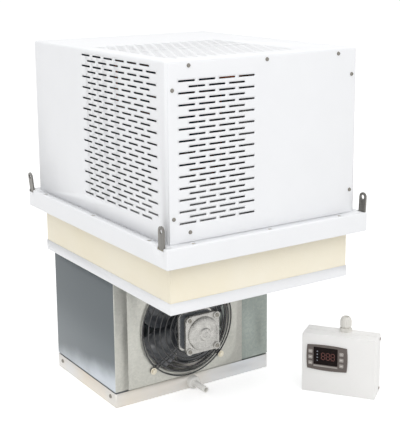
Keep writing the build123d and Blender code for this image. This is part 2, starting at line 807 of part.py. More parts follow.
# Condenser fan on its motor, which a pedestal carries
condenser_hub_x = shroud_x - condenser_fan_setback
bracket_x = condenser_hub_x - condenser_fan_hub_gap - bracket_thickness
condenser_shaft_reach = condenser_hub_x - bracket_x + condenser_motor_length / 2
condenser_axis = Plane(
    origin=(condenser_hub_x, condenser_fan_y, condenser_fan_z), x_dir=(0, 1, 0), z_dir=(1, 0, 0)
)
condenser_fan = axial_fan(
    condenser_axis,
    condenser_fan_hub_radius,
    condenser_fan_hub_length,
    condenser_fan_radius,
    condenser_shaft_reach,
    condenser_shaft_stub,
)
condenser_fan.label = "condenser_fan"
export_step(condenser_fan, "parts/condenser_fan.step")

with BuildPart() as condenser_fan_motor:
    with BuildSketch(Plane.YZ.offset(bracket_x)):
        with Locations((condenser_fan_y, condenser_fan_z)):
            RegularPolygon(condenser_motor_radius, cap_sides)
    extrude(amount=-condenser_motor_length)
    with BuildSketch(Plane.YZ.offset(bracket_x)):
        with Locations((condenser_fan_y, condenser_fan_z)):
            Circle(shaft_radius + shaft_clearance)
    extrude(amount=-(condenser_motor_length / 2 + shaft_end_gap), mode=Mode.SUBTRACT)
condenser_fan_motor.part.label = "condenser_fan_motor"
export_step(condenser_fan_motor.part, "parts/condenser_fan_motor.step")

bracket_height = condenser_fan_z - base_z + condenser_motor_radius
with BuildPart() as condenser_motor_bracket:
    with BuildSketch(Plane.YZ.offset(bracket_x)):
        with Locations((condenser_fan_y, base_z + bracket_height / 2)):
            Rectangle(bracket_width, bracket_height)
        with Locations((condenser_fan_y, condenser_fan_z)):
            RegularPolygon(bracket_bore_radius, small_sides, mode=Mode.SUBTRACT)
    extrude(amount=bracket_thickness)
    with BuildSketch(Plane.XY.offset(base_z)):
        with Locations((bracket_x + bracket_thickness - bracket_foot / 2, condenser_fan_y)):
            Rectangle(bracket_foot, bracket_width)
    extrude(amount=bracket_thickness)
condenser_motor_bracket.part.label = "condenser_motor_bracket"
export_step(condenser_motor_bracket.part, "parts/condenser_motor_bracket.step")

# Electrical box behind the plain part of the front panel
electrical_front_y = -casing_depth / 2 + casing_sheet + electrical_box_front_gap
with BuildPart() as electrical_box:
    with BuildSketch(Plane.XY.offset(base_z)):
        with Locations((electrical_box_x, electrical_front_y + electrical_box_depth / 2)):
            Rectangle(electrical_box_width, electrical_box_depth)
    extrude(amount=electrical_box_height)
    with BuildSketch(Plane.XY.offset(base_z + electrical_box_height)):
        with Locations((electrical_box_x, electrical_front_y + electrical_box_depth / 2)):
            lid_width = electrical_box_width + 2 * electrical_box_lid_overhang
            lid_depth = electrical_box_depth + 2 * electrical_box_lid_overhang
            Rectangle(lid_width, lid_depth)
    extrude(amount=electrical_box_lid)
electrical_box.part.label = "electrical_box"
export_step(electrical_box.part, "parts/electrical_box.step")


# Copper pipes between compressor, condenser, drier and evaporator
coil_end_x = evaporator_left_x + evaporator_coil_left_gap + evaporator_coil_length + end_plate_thickness
evaporator_coil_back = evaporator_back_y - evaporator_coil_back_gap
evaporator_coil_mid_y = evaporator_coil_back - evaporator_coil_depth / 2
suction_x = pipe_hole_x - suction_offset_x
suction_y = pipe_hole_y + suction_offset_y
suction_start_x = compressor_x + compressor_radius + joint_gap
suction_z = base_z + suction_above_base
suction_low_z = plug_bottom - suction_below_plug
suction_pipe = pipe(
    suction_radius,
    pipe_sides,
    [
        Vector(suction_start_x, suction_y, suction_z),
        Vector(suction_x, suction_y, suction_z),
        Vector(suction_x, suction_y, suction_low_z),
        Vector(suction_x, evaporator_coil_mid_y, suction_low_z),
        Vector(coil_end_x, evaporator_coil_mid_y, suction_low_z),
    ],
    pipe_corner_cut,
)
suction_pipe.label = "suction_pipe"
export_step(suction_pipe, "parts/suction_pipe.step")

discharge_z = coil_top_z - discharge_below_coil_top
discharge_x = compressor_x - discharge_offset_x
discharge_y = compressor_y + discharge_offset_y
discharge_front_y = coil_front_y - end_plate_thickness - discharge_front_gap
discharge_start_z = shell_bottom + compressor_height + joint_gap
discharge_pipe = pipe(
    discharge_radius,
    pipe_sides,
    [
        Vector(discharge_x, discharge_y, discharge_start_z),
        Vector(discharge_x, discharge_y, discharge_z),
        Vector(discharge_x, discharge_front_y, discharge_z),
        Vector(coil_mid_x, discharge_front_y, discharge_z),
        Vector(coil_mid_x, coil_front_y - end_plate_thickness, discharge_z),
    ],
    tight_corner_cut,
)
discharge_pipe.label = "discharge_pipe"
export_step(discharge_pipe, "parts/discharge_pipe.step")

liquid_z = coil_bottom_z + liquid_above_coil_foot
liquid_turn_y = coil_back_y + end_plate_thickness + liquid_back_gap
liquid_turn_x = compressor_x + compressor_radius + liquid_compressor_gap
drier_bottom = base_z + drier_above_base
drier_x = -casing_width / 2 + casing_sheet + drier_left_gap + drier_radius
drier_y = -casing_depth / 2 + casing_sheet + drier_front_gap + drier_radius
liquid_pipe = pipe(
    liquid_radius,
    pipe_sides,
    [
        Vector(coil_mid_x, coil_back_y + end_plate_thickness, liquid_z),
        Vector(coil_mid_x, liquid_turn_y, liquid_z),
        Vector(liquid_turn_x, liquid_turn_y, liquid_z),
        Vector(liquid_turn_x, drier_y, liquid_z),
        Vector(drier_x, drier_y, liquid_z),
        Vector(drier_x, drier_y, drier_bottom),
    ],
    tight_corner_cut,
)
liquid_pipe.label = "liquid_pipe"
export_step(liquid_pipe, "parts/liquid_pipe.step")

drier_cone_rise = (drier_radius - drier_neck_radius) * cos(radians(180 / small_sides))
drier_half = stacked_prisms(
    small_sides,
    drier_radius,
    [
        (drier_length / 2 - drier_neck_length - drier_cone_rise, 0),
        (drier_cone_rise, drier_cone_taper),
        (drier_neck_length, 0),
    ],
)
drier_middle = Location((drier_x, drier_y, drier_bottom + drier_length / 2))
filter_drier = drier_middle * (drier_half + drier_half.mirror(Plane.XY))
filter_drier.label = "filter_drier"
export_step(filter_drier, "parts/filter_drier.step")

capillary_x = pipe_hole_x + capillary_offset_x
capillary_y = pipe_hole_y - capillary_offset_y
capillary_top_z = shell_bottom + compressor_height + capillary_over_compressor
capillary_low_z = plug_bottom - capillary_below_plug
capillary_tube = pipe(
    capillary_radius,
    pipe_sides,
    [
        Vector(drier_x, drier_y, drier_bottom + drier_length),
        Vector(drier_x, drier_y, capillary_top_z),
        Vector(drier_x, capillary_y, capillary_top_z),
        Vector(capillary_x, capillary_y, capillary_top_z),
        Vector(capillary_x, capillary_y, capillary_low_z),
        Vector(capillary_x, evaporator_coil_mid_y, capillary_low_z),
        Vector(coil_end_x, evaporator_coil_mid_y, capillary_low_z),
    ],
    tight_corner_cut,
)
capillary_tube.label = "capillary_tube"
export_step(capillary_tube, "parts/capillary_tube.step")

# Evaporator housing
housing_height = plug_bottom - housing_bottom
with BuildPart() as evaporator_top:
    with BuildSketch(Plane.XY.offset(plug_bottom - evaporator_sheet)):
        with Locations((0, evaporator_mid_y)):
            Rectangle(evaporator_width - 2 * evaporator_sheet, evaporator_depth - 2 * evaporator_sheet)
        with Locations((pipe_hole_x, pipe_hole_y)):
            RegularPolygon(pipe_hole_radius, nut_sides, mode=Mode.SUBTRACT)
    extrude(amount=evaporator_sheet)
evaporator_top.part.label = "evaporator_top"
export_step(evaporator_top.part, "parts/evaporator_top.step")


def side_cover(side, return_width):
    """A side wall with its front and back edges folded in, on the left (-1) or the right (1)."""
    outer_x = side * evaporator_width / 2
    with BuildPart() as cover:
        with BuildSketch(Plane.XY.offset(housing_bottom)):
            with Locations((outer_x - side * evaporator_sheet / 2, evaporator_mid_y)):
                Rectangle(evaporator_sheet, evaporator_depth)
            with Locations((outer_x - side * return_width / 2, evaporator_front_y + evaporator_sheet / 2)):
                Rectangle(return_width, evaporator_sheet)
            back_y = evaporator_back_y - evaporator_sheet / 2
            with Locations((outer_x - side * back_return_width / 2, back_y)):
                Rectangle(back_return_width, evaporator_sheet)
        extrude(amount=housing_height)
        tongue_x = outer_x - side * (casing_sheet + evaporator_sheet / 2)
        tongue_width = evaporator_depth - 2 * back_return_width
        with BuildSketch(Plane.XY.offset(tray_top - tongue_reach)):
            with Locations((tongue_x, evaporator_mid_y)):
                Rectangle(evaporator_sheet, tongue_width)
        extrude(amount=tongue_reach + tray_gap + tongue_lap)
        with BuildSketch(Plane.XY.offset(housing_bottom)):
            with Locations((tongue_x + side * evaporator_sheet / 2, evaporator_mid_y)):
                Rectangle(evaporator_sheet, tongue_width)
        extrude(amount=tongue_lap)
    return cover.part


for cover_name, side, return_width in (
    ("evaporator_left_cover", -1, left_return_width),
    ("evaporator_right_cover", 1, right_return_width),
):
    cover_part = side_cover(side, return_width)
    cover_part.label = cover_name
    export_step(cover_part, f"parts/{cover_name}.step")

with BuildPart() as fan_plate:
    with BuildSketch(Plane.XZ.offset(-evaporator_front_y)):
        with Locations(((fan_plate_left + fan_plate_right) / 2, housing_bottom + housing_height / 2)):
            Rectangle(fan_plate_right - fan_plate_left, housing_height)
    extrude(amount=-evaporator_sheet)
    with BuildSketch(Plane.XZ.offset(-evaporator_front_y)):
        with Locations((evaporator_fan_x, evaporator_fan_z)):
            RegularPolygon(fan_opening_radius + 2 * evaporator_sheet, collar_sides)
    extrude(amount=-collar_depth)
    with BuildSketch(Plane.XZ.offset(-evaporator_front_y)):
        with Locations((evaporator_fan_x, evaporator_fan_z)):
            Circle(fan_opening_radius)
    extrude(amount=-collar_depth, mode=Mode.SUBTRACT)
fan_plate.part.label = "fan_plate"
export_step(fan_plate.part, "parts/fan_plate.step")

# Evaporator coil at the back, open to the air that the fan draws in
coil_left_x = evaporator_left_x + evaporator_coil_left_gap
coil_mid_length_x = coil_left_x + evaporator_coil_length / 2
evaporator_coil_top = plug_bottom - evaporator_coil_top_gap
evaporator_coil_bottom = tray_top + evaporator_coil_tray_gap
evaporator_coil_height = evaporator_coil_top - evaporator_coil_bottom
with BuildPart() as evaporator_fins:
    with BuildSketch(Plane.XY.offset(evaporator_coil_bottom)):
        with Locations((coil_mid_length_x, evaporator_coil_mid_y)):
            Rectangle(evaporator_coil_length, evaporator_coil_depth)
            grooves = groove_count(evaporator_coil_length)
            groove_span = evaporator_coil_depth - fin_groove_depth
            with GridLocations(fin_groove_pitch, groove_span, grooves, 2):
                Rectangle(fin_groove_width, fin_groove_depth, mode=Mode.SUBTRACT)
    extrude(amount=evaporator_coil_height)
evaporator_fins.part.label = "evaporator_fins"
export_step(evaporator_fins.part, "parts/evaporator_fins.step")

end_plate_height = plug_bottom - evaporator_sheet - evaporator_coil_bottom
with BuildPart() as evaporator_end_plates:
    for plate_x in (coil_left_x - end_plate_thickness, coil_left_x + evaporator_coil_length):
        with BuildSketch(Plane.YZ.offset(plate_x)):
            with Locations((evaporator_coil_mid_y, evaporator_coil_bottom + end_plate_height / 2)):
                Rectangle(evaporator_coil_depth, end_plate_height)
        extrude(amount=end_plate_thickness)
evaporator_end_plates.part.label = "evaporator_end_plates"
export_step(evaporator_end_plates.part, "parts/evaporator_end_plates.step")

bend_pitch_low = evaporator_coil_height / bends_per_end
bend_y = evaporator_coil_mid_y - bend_spacing / 2
with BuildPart() as evaporator_return_bends:
    left_end = (coil_left_x - end_plate_thickness, -1, left_bend_share)
    right_end = (coil_end_x, 1, right_bend_share)
    for end_x, outward, shift in (left_end, right_end):
        for row in range(bends_per_end):
            bend_z = evaporator_coil_bottom + (row + shift) * bend_pitch_low
            start = Vector(end_x, bend_y, bend_z)
            add(return_bend(start, Vector(0, bend_spacing, 0), Vector(outward, 0, 0)))
evaporator_return_bends.part.label = "evaporator_return_bends"
export_step(evaporator_return_bends.part, "parts/evaporator_return_bends.step")


def motor_plane(y):
    """Plane across the evaporator motor's axis at this y, facing the front."""
    return Plane(origin=(evaporator_fan_x, y, evaporator_fan_z), x_dir=(1, 0, 0), z_dir=(0, -1, 0))


# Evaporator fan: the hub's front end lies behind the guard, and the shaft runs into the motor
motor_rear_y = evaporator_front_y - guard_depth
evaporator_shaft_reach = motor_rear_thickness + motor_core_thickness / 2
fan_hub_y = evaporator_front_y + evaporator_fan_setback
evaporator_fan = axial_fan(
    motor_plane(fan_hub_y + evaporator_fan_hub_length),
    evaporator_fan_hub_radius,
    evaporator_fan_hub_length,
    evaporator_fan_radius,
    0.0,
    fan_hub_y - motor_rear_y + evaporator_shaft_reach,
)
evaporator_fan.label = "evaporator_fan"
export_step(evaporator_fan, "parts/evaporator_fan.step")


def motor_slab(y, size, corner, thickness, bore_depth):
    """A square slab of the motor with cut corners, with the shaft's bore in its rear face."""
    with BuildPart() as slab:
        with BuildSketch(motor_plane(y)) as outline:
            Rectangle(size, size)
            chamfer(outline.vertices(), corner)
        extrude(amount=thickness)
        if bore_depth:
            with BuildSketch(motor_plane(y)):
                Circle(shaft_radius + shaft_clearance)
            extrude(amount=bore_depth, mode=Mode.SUBTRACT)
    return slab.part


core_y = motor_rear_y - motor_rear_thickness
evaporator_motor_rear = motor_slab(
    motor_rear_y, motor_square, motor_corner, motor_rear_thickness, motor_rear_thickness
)
evaporator_motor_rear.label = "evaporator_motor_rear"
export_step(evaporator_motor_rear, "parts/evaporator_motor_rear.step")

front_shield_y = core_y - motor_core_thickness
evaporator_motor_core = motor_slab(
    core_y, motor_core_square, motor_corner, motor_core_thickness, motor_core_thickness / 2 + shaft_end_gap
)
evaporator_motor_core.label = "evaporator_motor_core"
export_step(evaporator_motor_core, "parts/evaporator_motor_core.step")

shield_face = motor_plane(front_shield_y - motor_front_thickness)
motor_cap = shield_face.location * stacked_prisms(
    cap_sides, motor_cap_radius, [(motor_cap_height, motor_cap_taper), (motor_boss_height, motor_boss_taper)]
)
with BuildPart() as evaporator_motor_front:
    add(motor_slab(front_shield_y, motor_square, motor_corner, motor_front_thickness, 0))
    with BuildSketch(shield_face):
        with GridLocations(2 * motor_lug_offset, 2 * motor_lug_offset, 2, 2):
            RegularPolygon(motor_lug_radius, small_sides)
    extrude(amount=motor_lug_height)
    add(motor_cap)
evaporator_motor_front.part.label = "evaporator_motor_front"
export_step(evaporator_motor_front.part, "parts/evaporator_motor_front.step")


def guard_height(radius):
    """How far the dome on which the guard's rings lie stands in front of the fan plate."""
    share = (guard_outer_radius - radius) / (guard_outer_radius - guard_inner_radius)
    rise = (guard_depth - 2 * guard_wire) * sin(min(share, 1) * radians(90))
    return guard_wire + max(rise, 0)


# Guard: rings welded on the front of four pairs of bent arms that end in bolted eyes
ring_step = (guard_outer_radius - guard_inner_radius) / (guard_ring_count - 1)
ring_radii = [guard_outer_radius - ring * ring_step for ring in range(guard_ring_count)]
ring_seats = [(radius - guard_wire / 2) * cos(radians(180 / ring_sides)) for radius in ring_radii]
with BuildPart() as guard_rings:
    for radius, seat in zip(ring_radii, ring_seats):
        with BuildSketch(motor_plane(evaporator_front_y - guard_height(seat))):
            RegularPolygon(radius + guard_wire / 2, ring_sides)
            RegularPolygon(radius - guard_wire / 2, ring_sides, mode=Mode.SUBTRACT)
        extrude(amount=guard_wire)
guard_rings.part.label = "guard_rings"
export_step(guard_rings.part, "parts/guard_rings.step")

with BuildPart() as guard_arms:
    arm_radii = [guard_bolt_radius - guard_eye_radius / 2, *ring_seats[::2], guard_arm_inner_radius]
    arm_top = [(radius, guard_height(radius) - guard_weld_gap) for radius in arm_radii]
    arm_low = [(radius, max(height - guard_wire, 0)) for radius, height in arm_top]
    for quarter in range(4):
        angle = radians(45 + 90 * quarter)
        radial = Vector(cos(angle), 0, sin(angle))
        across = Vector(-sin(angle), 0, cos(angle))
        centre = Vector(evaporator_fan_x, evaporator_front_y, evaporator_fan_z)
        for offset_side in (-1, 1):
            origin = centre + across * (offset_side * guard_arm_pair_gap / 2)
            with BuildSketch(Plane(origin=origin, x_dir=radial, z_dir=across * -1)):
                with BuildLine():
                    Polyline(*arm_top, *reversed(arm_low), close=True)
                make_face()
            extrude(amount=guard_wire / 2, both=True)
        with BuildSketch(motor_plane(evaporator_front_y)):
            with Locations((guard_bolt_radius * cos(angle), guard_bolt_radius * sin(angle))):
                RegularPolygon(guard_eye_radius, small_sides)
        extrude(amount=guard_wire)
guard_arms.part.label = "guard_arms"
export_step(guard_arms.part, "parts/guard_arms.step")

bolt_offset = guard_bolt_radius * cos(radians(45))
with BuildPart() as guard_bolts:
    with BuildSketch(motor_plane(evaporator_front_y - guard_wire)):
        with GridLocations(2 * bolt_offset, 2 * bolt_offset, 2, 2):
            RegularPolygon(guard_bolt_size, 6)
    extrude(amount=guard_bolt_height)
guard_bolts.part.label = "guard_bolts"
export_step(guard_bolts.part, "parts/guard_bolts.step")

# Drip tray with its drain
drain_z = floor_z + drain_above_floor
drain_hole_radius = (drain_spigot_radius + drain_hole_clearance) / cos(radians(180 / nut_sides))
with BuildPart() as drip_tray:
    with BuildSketch(Plane.XY.offset(floor_z)):
        with Locations((0, evaporator_mid_y)):
            Rectangle(evaporator_width, evaporator_depth)
    extrude(amount=tray_height)
    with BuildSketch(Plane.XY.offset(floor_z + casing_sheet)):
        with Locations((0, evaporator_mid_y)):
            Rectangle(evaporator_width - 2 * casing_sheet, evaporator_depth - 2 * casing_sheet)
    extrude(amount=tray_height, mode=Mode.SUBTRACT)
    with BuildSketch(Plane.XZ.offset(-evaporator_front_y)):
        with Locations((drain_x, drain_z)):
            RegularPolygon(drain_hole_radius, nut_sides)
    extrude(amount=-casing_sheet, mode=Mode.SUBTRACT)
drip_tray.part.label = "drip_tray"
export_step(drip_tray.part, "parts/drip_tray.step")

tray_screw_z = tray_top - tray_screw_below_top
front_tray_screw = (evaporator_front_y + tray_screw_inset, tray_screw_z)
back_tray_screw = (evaporator_back_y - tray_screw_inset, tray_screw_z)
with BuildPart() as tray_screws:
    for side in (-1, 1):
        with BuildSketch(Plane.YZ.offset(side * evaporator_width / 2)):
            with Locations(front_tray_screw, back_tray_screw):
                RegularPolygon(screw_head_radius, 6)
        extrude(amount=side * screw_head_height)
tray_screws.part.label = "tray_screws"
export_step(tray_screws.part, "parts/tray_screws.step")

with BuildPart() as drain_spout:
    with BuildSketch(Plane.XZ.offset(-evaporator_front_y)):
        with Locations((drain_x, drain_z)):
            RegularPolygon(drain_base_radius, drain_base_sides)
            RegularPolygon(drain_hole_radius, nut_sides, mode=Mode.SUBTRACT)
    extrude(amount=drain_base_length)
drain_spout.part.label = "drain_spout"
export_step(drain_spout.part, "parts/drain_spout.step")

# The hose's pipe has a thinner spigot that sits in the spout and the tray's wall
with BuildPart() as drain_pipe:
    with BuildSketch(Plane.XZ.offset(-evaporator_front_y - casing_sheet)):
        with Locations((drain_x, drain_z)):
            RegularPolygon(drain_spigot_radius, nut_sides)
    extrude(amount=drain_base_length + casing_sheet)
    with BuildSketch(Plane.XZ.offset(-evaporator_front_y + drain_base_length)):
        with Locations((drain_x, drain_z)):
            Circle(drain_pipe_radius)
    extrude(amount=drain_pipe_reach - drain_base_length)
    with BuildSketch(Plane.XZ.offset(-evaporator_front_y - casing_sheet)):
        with Locations((drain_x, drain_z)):
            RegularPolygon(drain_bore_radius, small_sides)
    extrude(amount=drain_pipe_reach + casing_sheet, mode=Mode.SUBTRACT)
drain_pipe.part.label = "drain_pipe"
export_step(drain_pipe.part, "parts/drain_pipe.step")

# Remote keypad box: x runs along its front, y up, and z out of the front
turn = radians(control_turn)
along = Vector(cos(turn), sin(turn), 0)
inward = Vector(-sin(turn), cos(turn), 0)
control_corner = Vector(control_left_x, control_left_y, floor_z)
control_front = Plane(origin=control_corner, x_dir=along, z_dir=inward * -1)
control_depth = control_cover_depth + control_base_depth
box_centre = (control_width / 2, control_height / 2)
inner_width = control_width - 2 * control_wall
inner_height = control_height - 2 * control_wall

control_outward = Axis(tuple(control_corner), tuple(inward * -1))
with BuildPart() as control_cover:
    with BuildSketch(control_front.offset(-control_cover_depth)) as cover_outline:
        with Locations(box_centre):
            Rectangle(control_width, control_height)
        chamfer(cover_outline.vertices(), control_corner_cut)
    extrude(amount=control_cover_depth)
    chamfer(control_cover.faces().sort_by(control_outward)[-1].edges(), control_edge_cut)
    with BuildSketch(control_front.offset(-control_cover_depth)):
        with Locations(box_centre):
            Rectangle(inner_width, inner_height)
    extrude(amount=control_cover_depth - control_wall, mode=Mode.SUBTRACT)
control_cover.part.label = "control_cover"
export_step(control_cover.part, "parts/control_cover.step")

gland_depth = control_cover_depth + control_base_depth / 2
gland_foot = control_front.from_local_coords(Vector(gland_from_left, control_height, -gland_depth))
gland_axis = Plane(origin=gland_foot, x_dir=along, z_dir=(0, 0, 1))
with BuildPart() as control_base:
    with BuildSketch(control_front.offset(-control_depth)) as base_outline:
        with Locations(box_centre):
            Rectangle(control_width, control_height)
        chamfer(base_outline.vertices(), control_corner_cut)
    extrude(amount=control_base_depth)
    with BuildSketch(control_front.offset(-control_depth + control_wall)):
        with Locations(box_centre):
            Rectangle(inner_width, inner_height)
    extrude(amount=control_base_depth - control_wall, mode=Mode.SUBTRACT)
    with BuildSketch(gland_axis):
        RegularPolygon(gland_stub_radius + gland_hole_clearance, small_sides)
    extrude(amount=-control_wall, mode=Mode.SUBTRACT)
control_base.part.label = "control_base"
export_step(control_base.part, "parts/control_base.step")

# Keypad: a bowed bezel with a dark window and three buttons down each side
bezel_left = bezel_from_left
bezel_right = bezel_left + bezel_width
bezel_top = control_height - bezel_from_top
bezel_bottom = bezel_top - bezel_height
bezel_mid_x = (bezel_left + bezel_right) / 2
bezel_mid_y = (bezel_top + bezel_bottom) / 2
window_left = bezel_left + window_from_bezel_left
window_mid = (window_left + window_width / 2, bezel_top - window_from_bezel_top - window_height / 2)
button_columns = (bezel_left + button_left_inset, bezel_right - button_right_inset)
button_heights = [bezel_mid_y + (1 - row) * button_pitch for row in range(button_rows)]
button_places = [(column, height) for column in button_columns for height in button_heights]
with BuildPart() as keypad_bezel:
    with BuildSketch(control_front):
        with BuildLine():
            low_left = (bezel_left, bezel_bottom)
            low_right = (bezel_right, bezel_bottom)
            high_right = (bezel_right, bezel_top)
            high_left = (bezel_left, bezel_top)
            ThreePointArc(low_left, (bezel_mid_x, bezel_bottom - bezel_bow), low_right)
            ThreePointArc(low_right, (bezel_right + bezel_side_bow, bezel_mid_y), high_right)
            ThreePointArc(high_right, (bezel_mid_x, bezel_top + bezel_bow), high_left)
            ThreePointArc(high_left, (bezel_left - bezel_side_bow, bezel_mid_y), low_left)
        make_face()
        with Locations(*button_places):
            opening_width = button_width + 2 * button_clearance
            opening_height = button_height + 2 * button_clearance
            Rectangle(opening_width, opening_height, mode=Mode.SUBTRACT)
    extrude(amount=bezel_thickness)
    with BuildSketch(control_front.offset(bezel_thickness)):
        with Locations(window_mid):
            Rectangle(window_width + 2 * window_clearance, window_height + 2 * window_clearance)
    extrude(amount=-window_thickness, mode=Mode.SUBTRACT)
keypad_bezel.part.label = "keypad_bezel"
export_step(keypad_bezel.part, "parts/keypad_bezel.step")

with BuildPart() as display_window:
    with BuildSketch(control_front.offset(bezel_thickness)):
        with Locations(window_mid):
            Rectangle(window_width, window_height)
    extrude(amount=-window_thickness)
display_window.part.label = "display_window"
export_step(display_window.part, "parts/display_window.step")


def keypad_button(place):
    """One button, a little proud of the bezel, with room behind it for its travel."""
    with BuildPart() as button:
        with BuildSketch(control_front.offset(bezel_thickness + button_proud)):
            with Locations(place):
                Rectangle(button_width, button_height)
        extrude(amount=-button_length)
    return button.part


for number, place in enumerate(button_places, start=1):
    button_part = keypad_button(place)
    button_part.label = f"keypad_button_{number}"
    export_step(button_part, f"parts/keypad_button_{number}.step")

# Cable gland on top of the keypad box
with BuildPart() as gland_body:
    with BuildSketch(gland_axis):
        RegularPolygon(gland_hex_radius, 6)
    extrude(amount=gland_hex_height)
    with BuildSketch(gland_axis.offset(gland_hex_height)):
        RegularPolygon(gland_neck_radius, small_sides)
    extrude(amount=gland_neck_height)
    with BuildSketch(gland_axis):
        RegularPolygon(gland_stub_radius, small_sides)
    extrude(amount=-gland_stub_length)
    with BuildSketch(gland_axis.offset(-gland_stub_length)):
        RegularPolygon(gland_bore_radius, small_sides)
    extrude(amount=gland_stub_length + gland_hex_height + gland_neck_height, mode=Mode.SUBTRACT)
gland_body.part.label = "gland_body"
export_step(gland_body.part, "parts/gland_body.step")

nut_foot = gland_hex_height + gland_neck_height
gland_dome = Location(gland_foot + Vector(0, 0, nut_foot)) * stacked_prisms(
    nut_sides, gland_nut_radius, [(gland_nut_skirt, 0), *gland_nut_crown]
)
with BuildPart() as gland_nut:
    add(gland_dome)
    with BuildSketch(gland_axis.offset(nut_foot)):
        Circle(gland_bore_radius)
    extrude(amount=gland_nut_height, mode=Mode.SUBTRACT)
gland_nut.part.label = "gland_nut"
export_step(gland_nut.part, "parts/gland_nut.step")

screw_depth = -control_depth + control_screw_from_back
with BuildPart() as control_screws:
    for side_x, out in ((0, along * -1), (control_width, along)):
        for height in (control_screw_inset, control_height - control_screw_inset):
            origin = control_front.from_local_coords(Vector(side_x, height, screw_depth))
            with BuildSketch(Plane(origin=origin, x_dir=(0, 0, 1), z_dir=out)):
                RegularPolygon(control_screw_radius, control_screw_sides)
            extrude(amount=control_screw_height)
control_screws.part.label = "control_screws"
export_step(control_screws.part, "parts/control_screws.step")
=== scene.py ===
"""Looks of a ceiling refrigeration unit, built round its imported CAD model.

The sizes in the classes are millimetres in the part's own frame: +Z up, -Y the side that the
evaporator fan faces, and the origin in the plane on which the flange lies on the ceiling.
They become metres when a mesh is made.
"""

import logging
import math
from collections.abc import Sequence
from dataclasses import dataclass
from enum import Enum

import bmesh
import bpy
import numpy as np
from mathutils import Matrix, Vector


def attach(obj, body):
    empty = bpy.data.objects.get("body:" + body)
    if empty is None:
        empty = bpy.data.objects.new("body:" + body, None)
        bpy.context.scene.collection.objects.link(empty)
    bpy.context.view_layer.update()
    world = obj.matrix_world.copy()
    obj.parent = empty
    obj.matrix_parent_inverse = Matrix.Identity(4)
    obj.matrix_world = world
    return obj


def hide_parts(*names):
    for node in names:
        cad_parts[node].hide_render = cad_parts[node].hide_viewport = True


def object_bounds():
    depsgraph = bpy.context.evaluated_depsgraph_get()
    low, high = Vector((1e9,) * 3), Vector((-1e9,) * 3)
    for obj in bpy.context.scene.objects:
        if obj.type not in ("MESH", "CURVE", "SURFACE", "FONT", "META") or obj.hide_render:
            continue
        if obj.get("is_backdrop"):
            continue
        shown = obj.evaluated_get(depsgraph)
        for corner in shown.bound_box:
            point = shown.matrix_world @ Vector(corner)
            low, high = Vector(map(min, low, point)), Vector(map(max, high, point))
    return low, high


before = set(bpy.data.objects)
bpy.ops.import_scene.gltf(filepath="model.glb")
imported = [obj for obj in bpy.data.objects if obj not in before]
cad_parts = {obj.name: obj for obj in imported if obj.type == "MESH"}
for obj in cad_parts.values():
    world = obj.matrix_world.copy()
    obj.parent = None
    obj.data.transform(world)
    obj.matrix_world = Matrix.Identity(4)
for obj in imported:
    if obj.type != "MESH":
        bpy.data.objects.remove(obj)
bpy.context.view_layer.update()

LOG = logging.getLogger("refrigeration_unit")
MM = 0.001
TURN = 2.0 * math.pi
FLOOR_Z = -362.0
SIGNS = (-1, 1)
CORNERS = tuple((x, y) for x in SIGNS for y in SIGNS)

Pair = tuple[float, float]
Triple = tuple[float, float, float]
Extent = tuple[float, float, float, float]
Profile = tuple[Pair, ...]
Tree = bpy.types.NodeTree
Node = bpy.types.Node
Material = bpy.types.Material
Piece = bpy.types.Object


# Shapes


@dataclass(frozen=True)
class Place:
    """A local frame in the part's frame, in millimetres."""

    origin: Triple = (0.0, 0.0, 0.0)
    across: Triple = (1.0, 0.0, 0.0)
    upward: Triple = (0.0, 1.0, 0.0)
    outward: Triple = (0.0, 0.0, 1.0)

    def put(self, points: np.ndarray) -> np.ndarray:
        """Takes local points into the part's frame: origin + x across + y upward + z outward."""
        basis = np.array([self.across, self.upward, self.outward], float)
        return np.asarray(points, float) @ basis + np.array(self.origin, float)

    def moved(self, x: float, y: float, z: float) -> "Place":
        """The same frame with its origin at these local coordinates."""
        return Place(tuple(self.put(np.array([x, y, z]))), self.across, self.upward, self.outward)


def facing_front(x: float, y: float, z: float) -> Place:
    """A frame on a plane that faces the fan side: x to the right, y up, z out of the front."""
    return Place((x, y, z), (1.0, 0.0, 0.0), (0.0, 0.0, 1.0), (0.0, -1.0, 0.0))


def facing_back(x: float, y: float, z: float) -> Place:
    """A frame on a plane that faces the back: x to the left as seen from the front, y up, z out."""
    return Place((x, y, z), (-1.0, 0.0, 0.0), (0.0, 0.0, 1.0), (0.0, 1.0, 0.0))


def facing_side(side: int, x: float, y: float, z: float) -> Place:
    """A frame on a plane that faces left (side -1) or right (side 1): y up, z out."""
    return Place((x, y, z), (0.0, side, 0.0), (0.0, 0.0, 1.0), (side, 0.0, 0.0))


@dataclass
class Shape:
    """Points in millimetres, and faces as arrays of point numbers, one array for each size of face."""

    points: np.ndarray
    faces: list[np.ndarray]

    def placed(self, place: Place) -> "Shape":
        """The shape taken from a local frame into the part's frame."""
        return Shape(place.put(self.points), self.faces)


def joined(shapes: Sequence[Shape]) -> Shape:
    """Puts several shapes into one, with the numbers in their faces moved on.

    Args:
        shapes: The shapes to join.

    Returns:
        One shape with all their points and faces.
    """
    starts = np.cumsum([0] + [len(shape.points) for shape in shapes])
    faces = [face + start for shape, start in zip(shapes, starts) for face in shape.faces]
    return Shape(np.vstack([shape.points for shape in shapes]), faces)


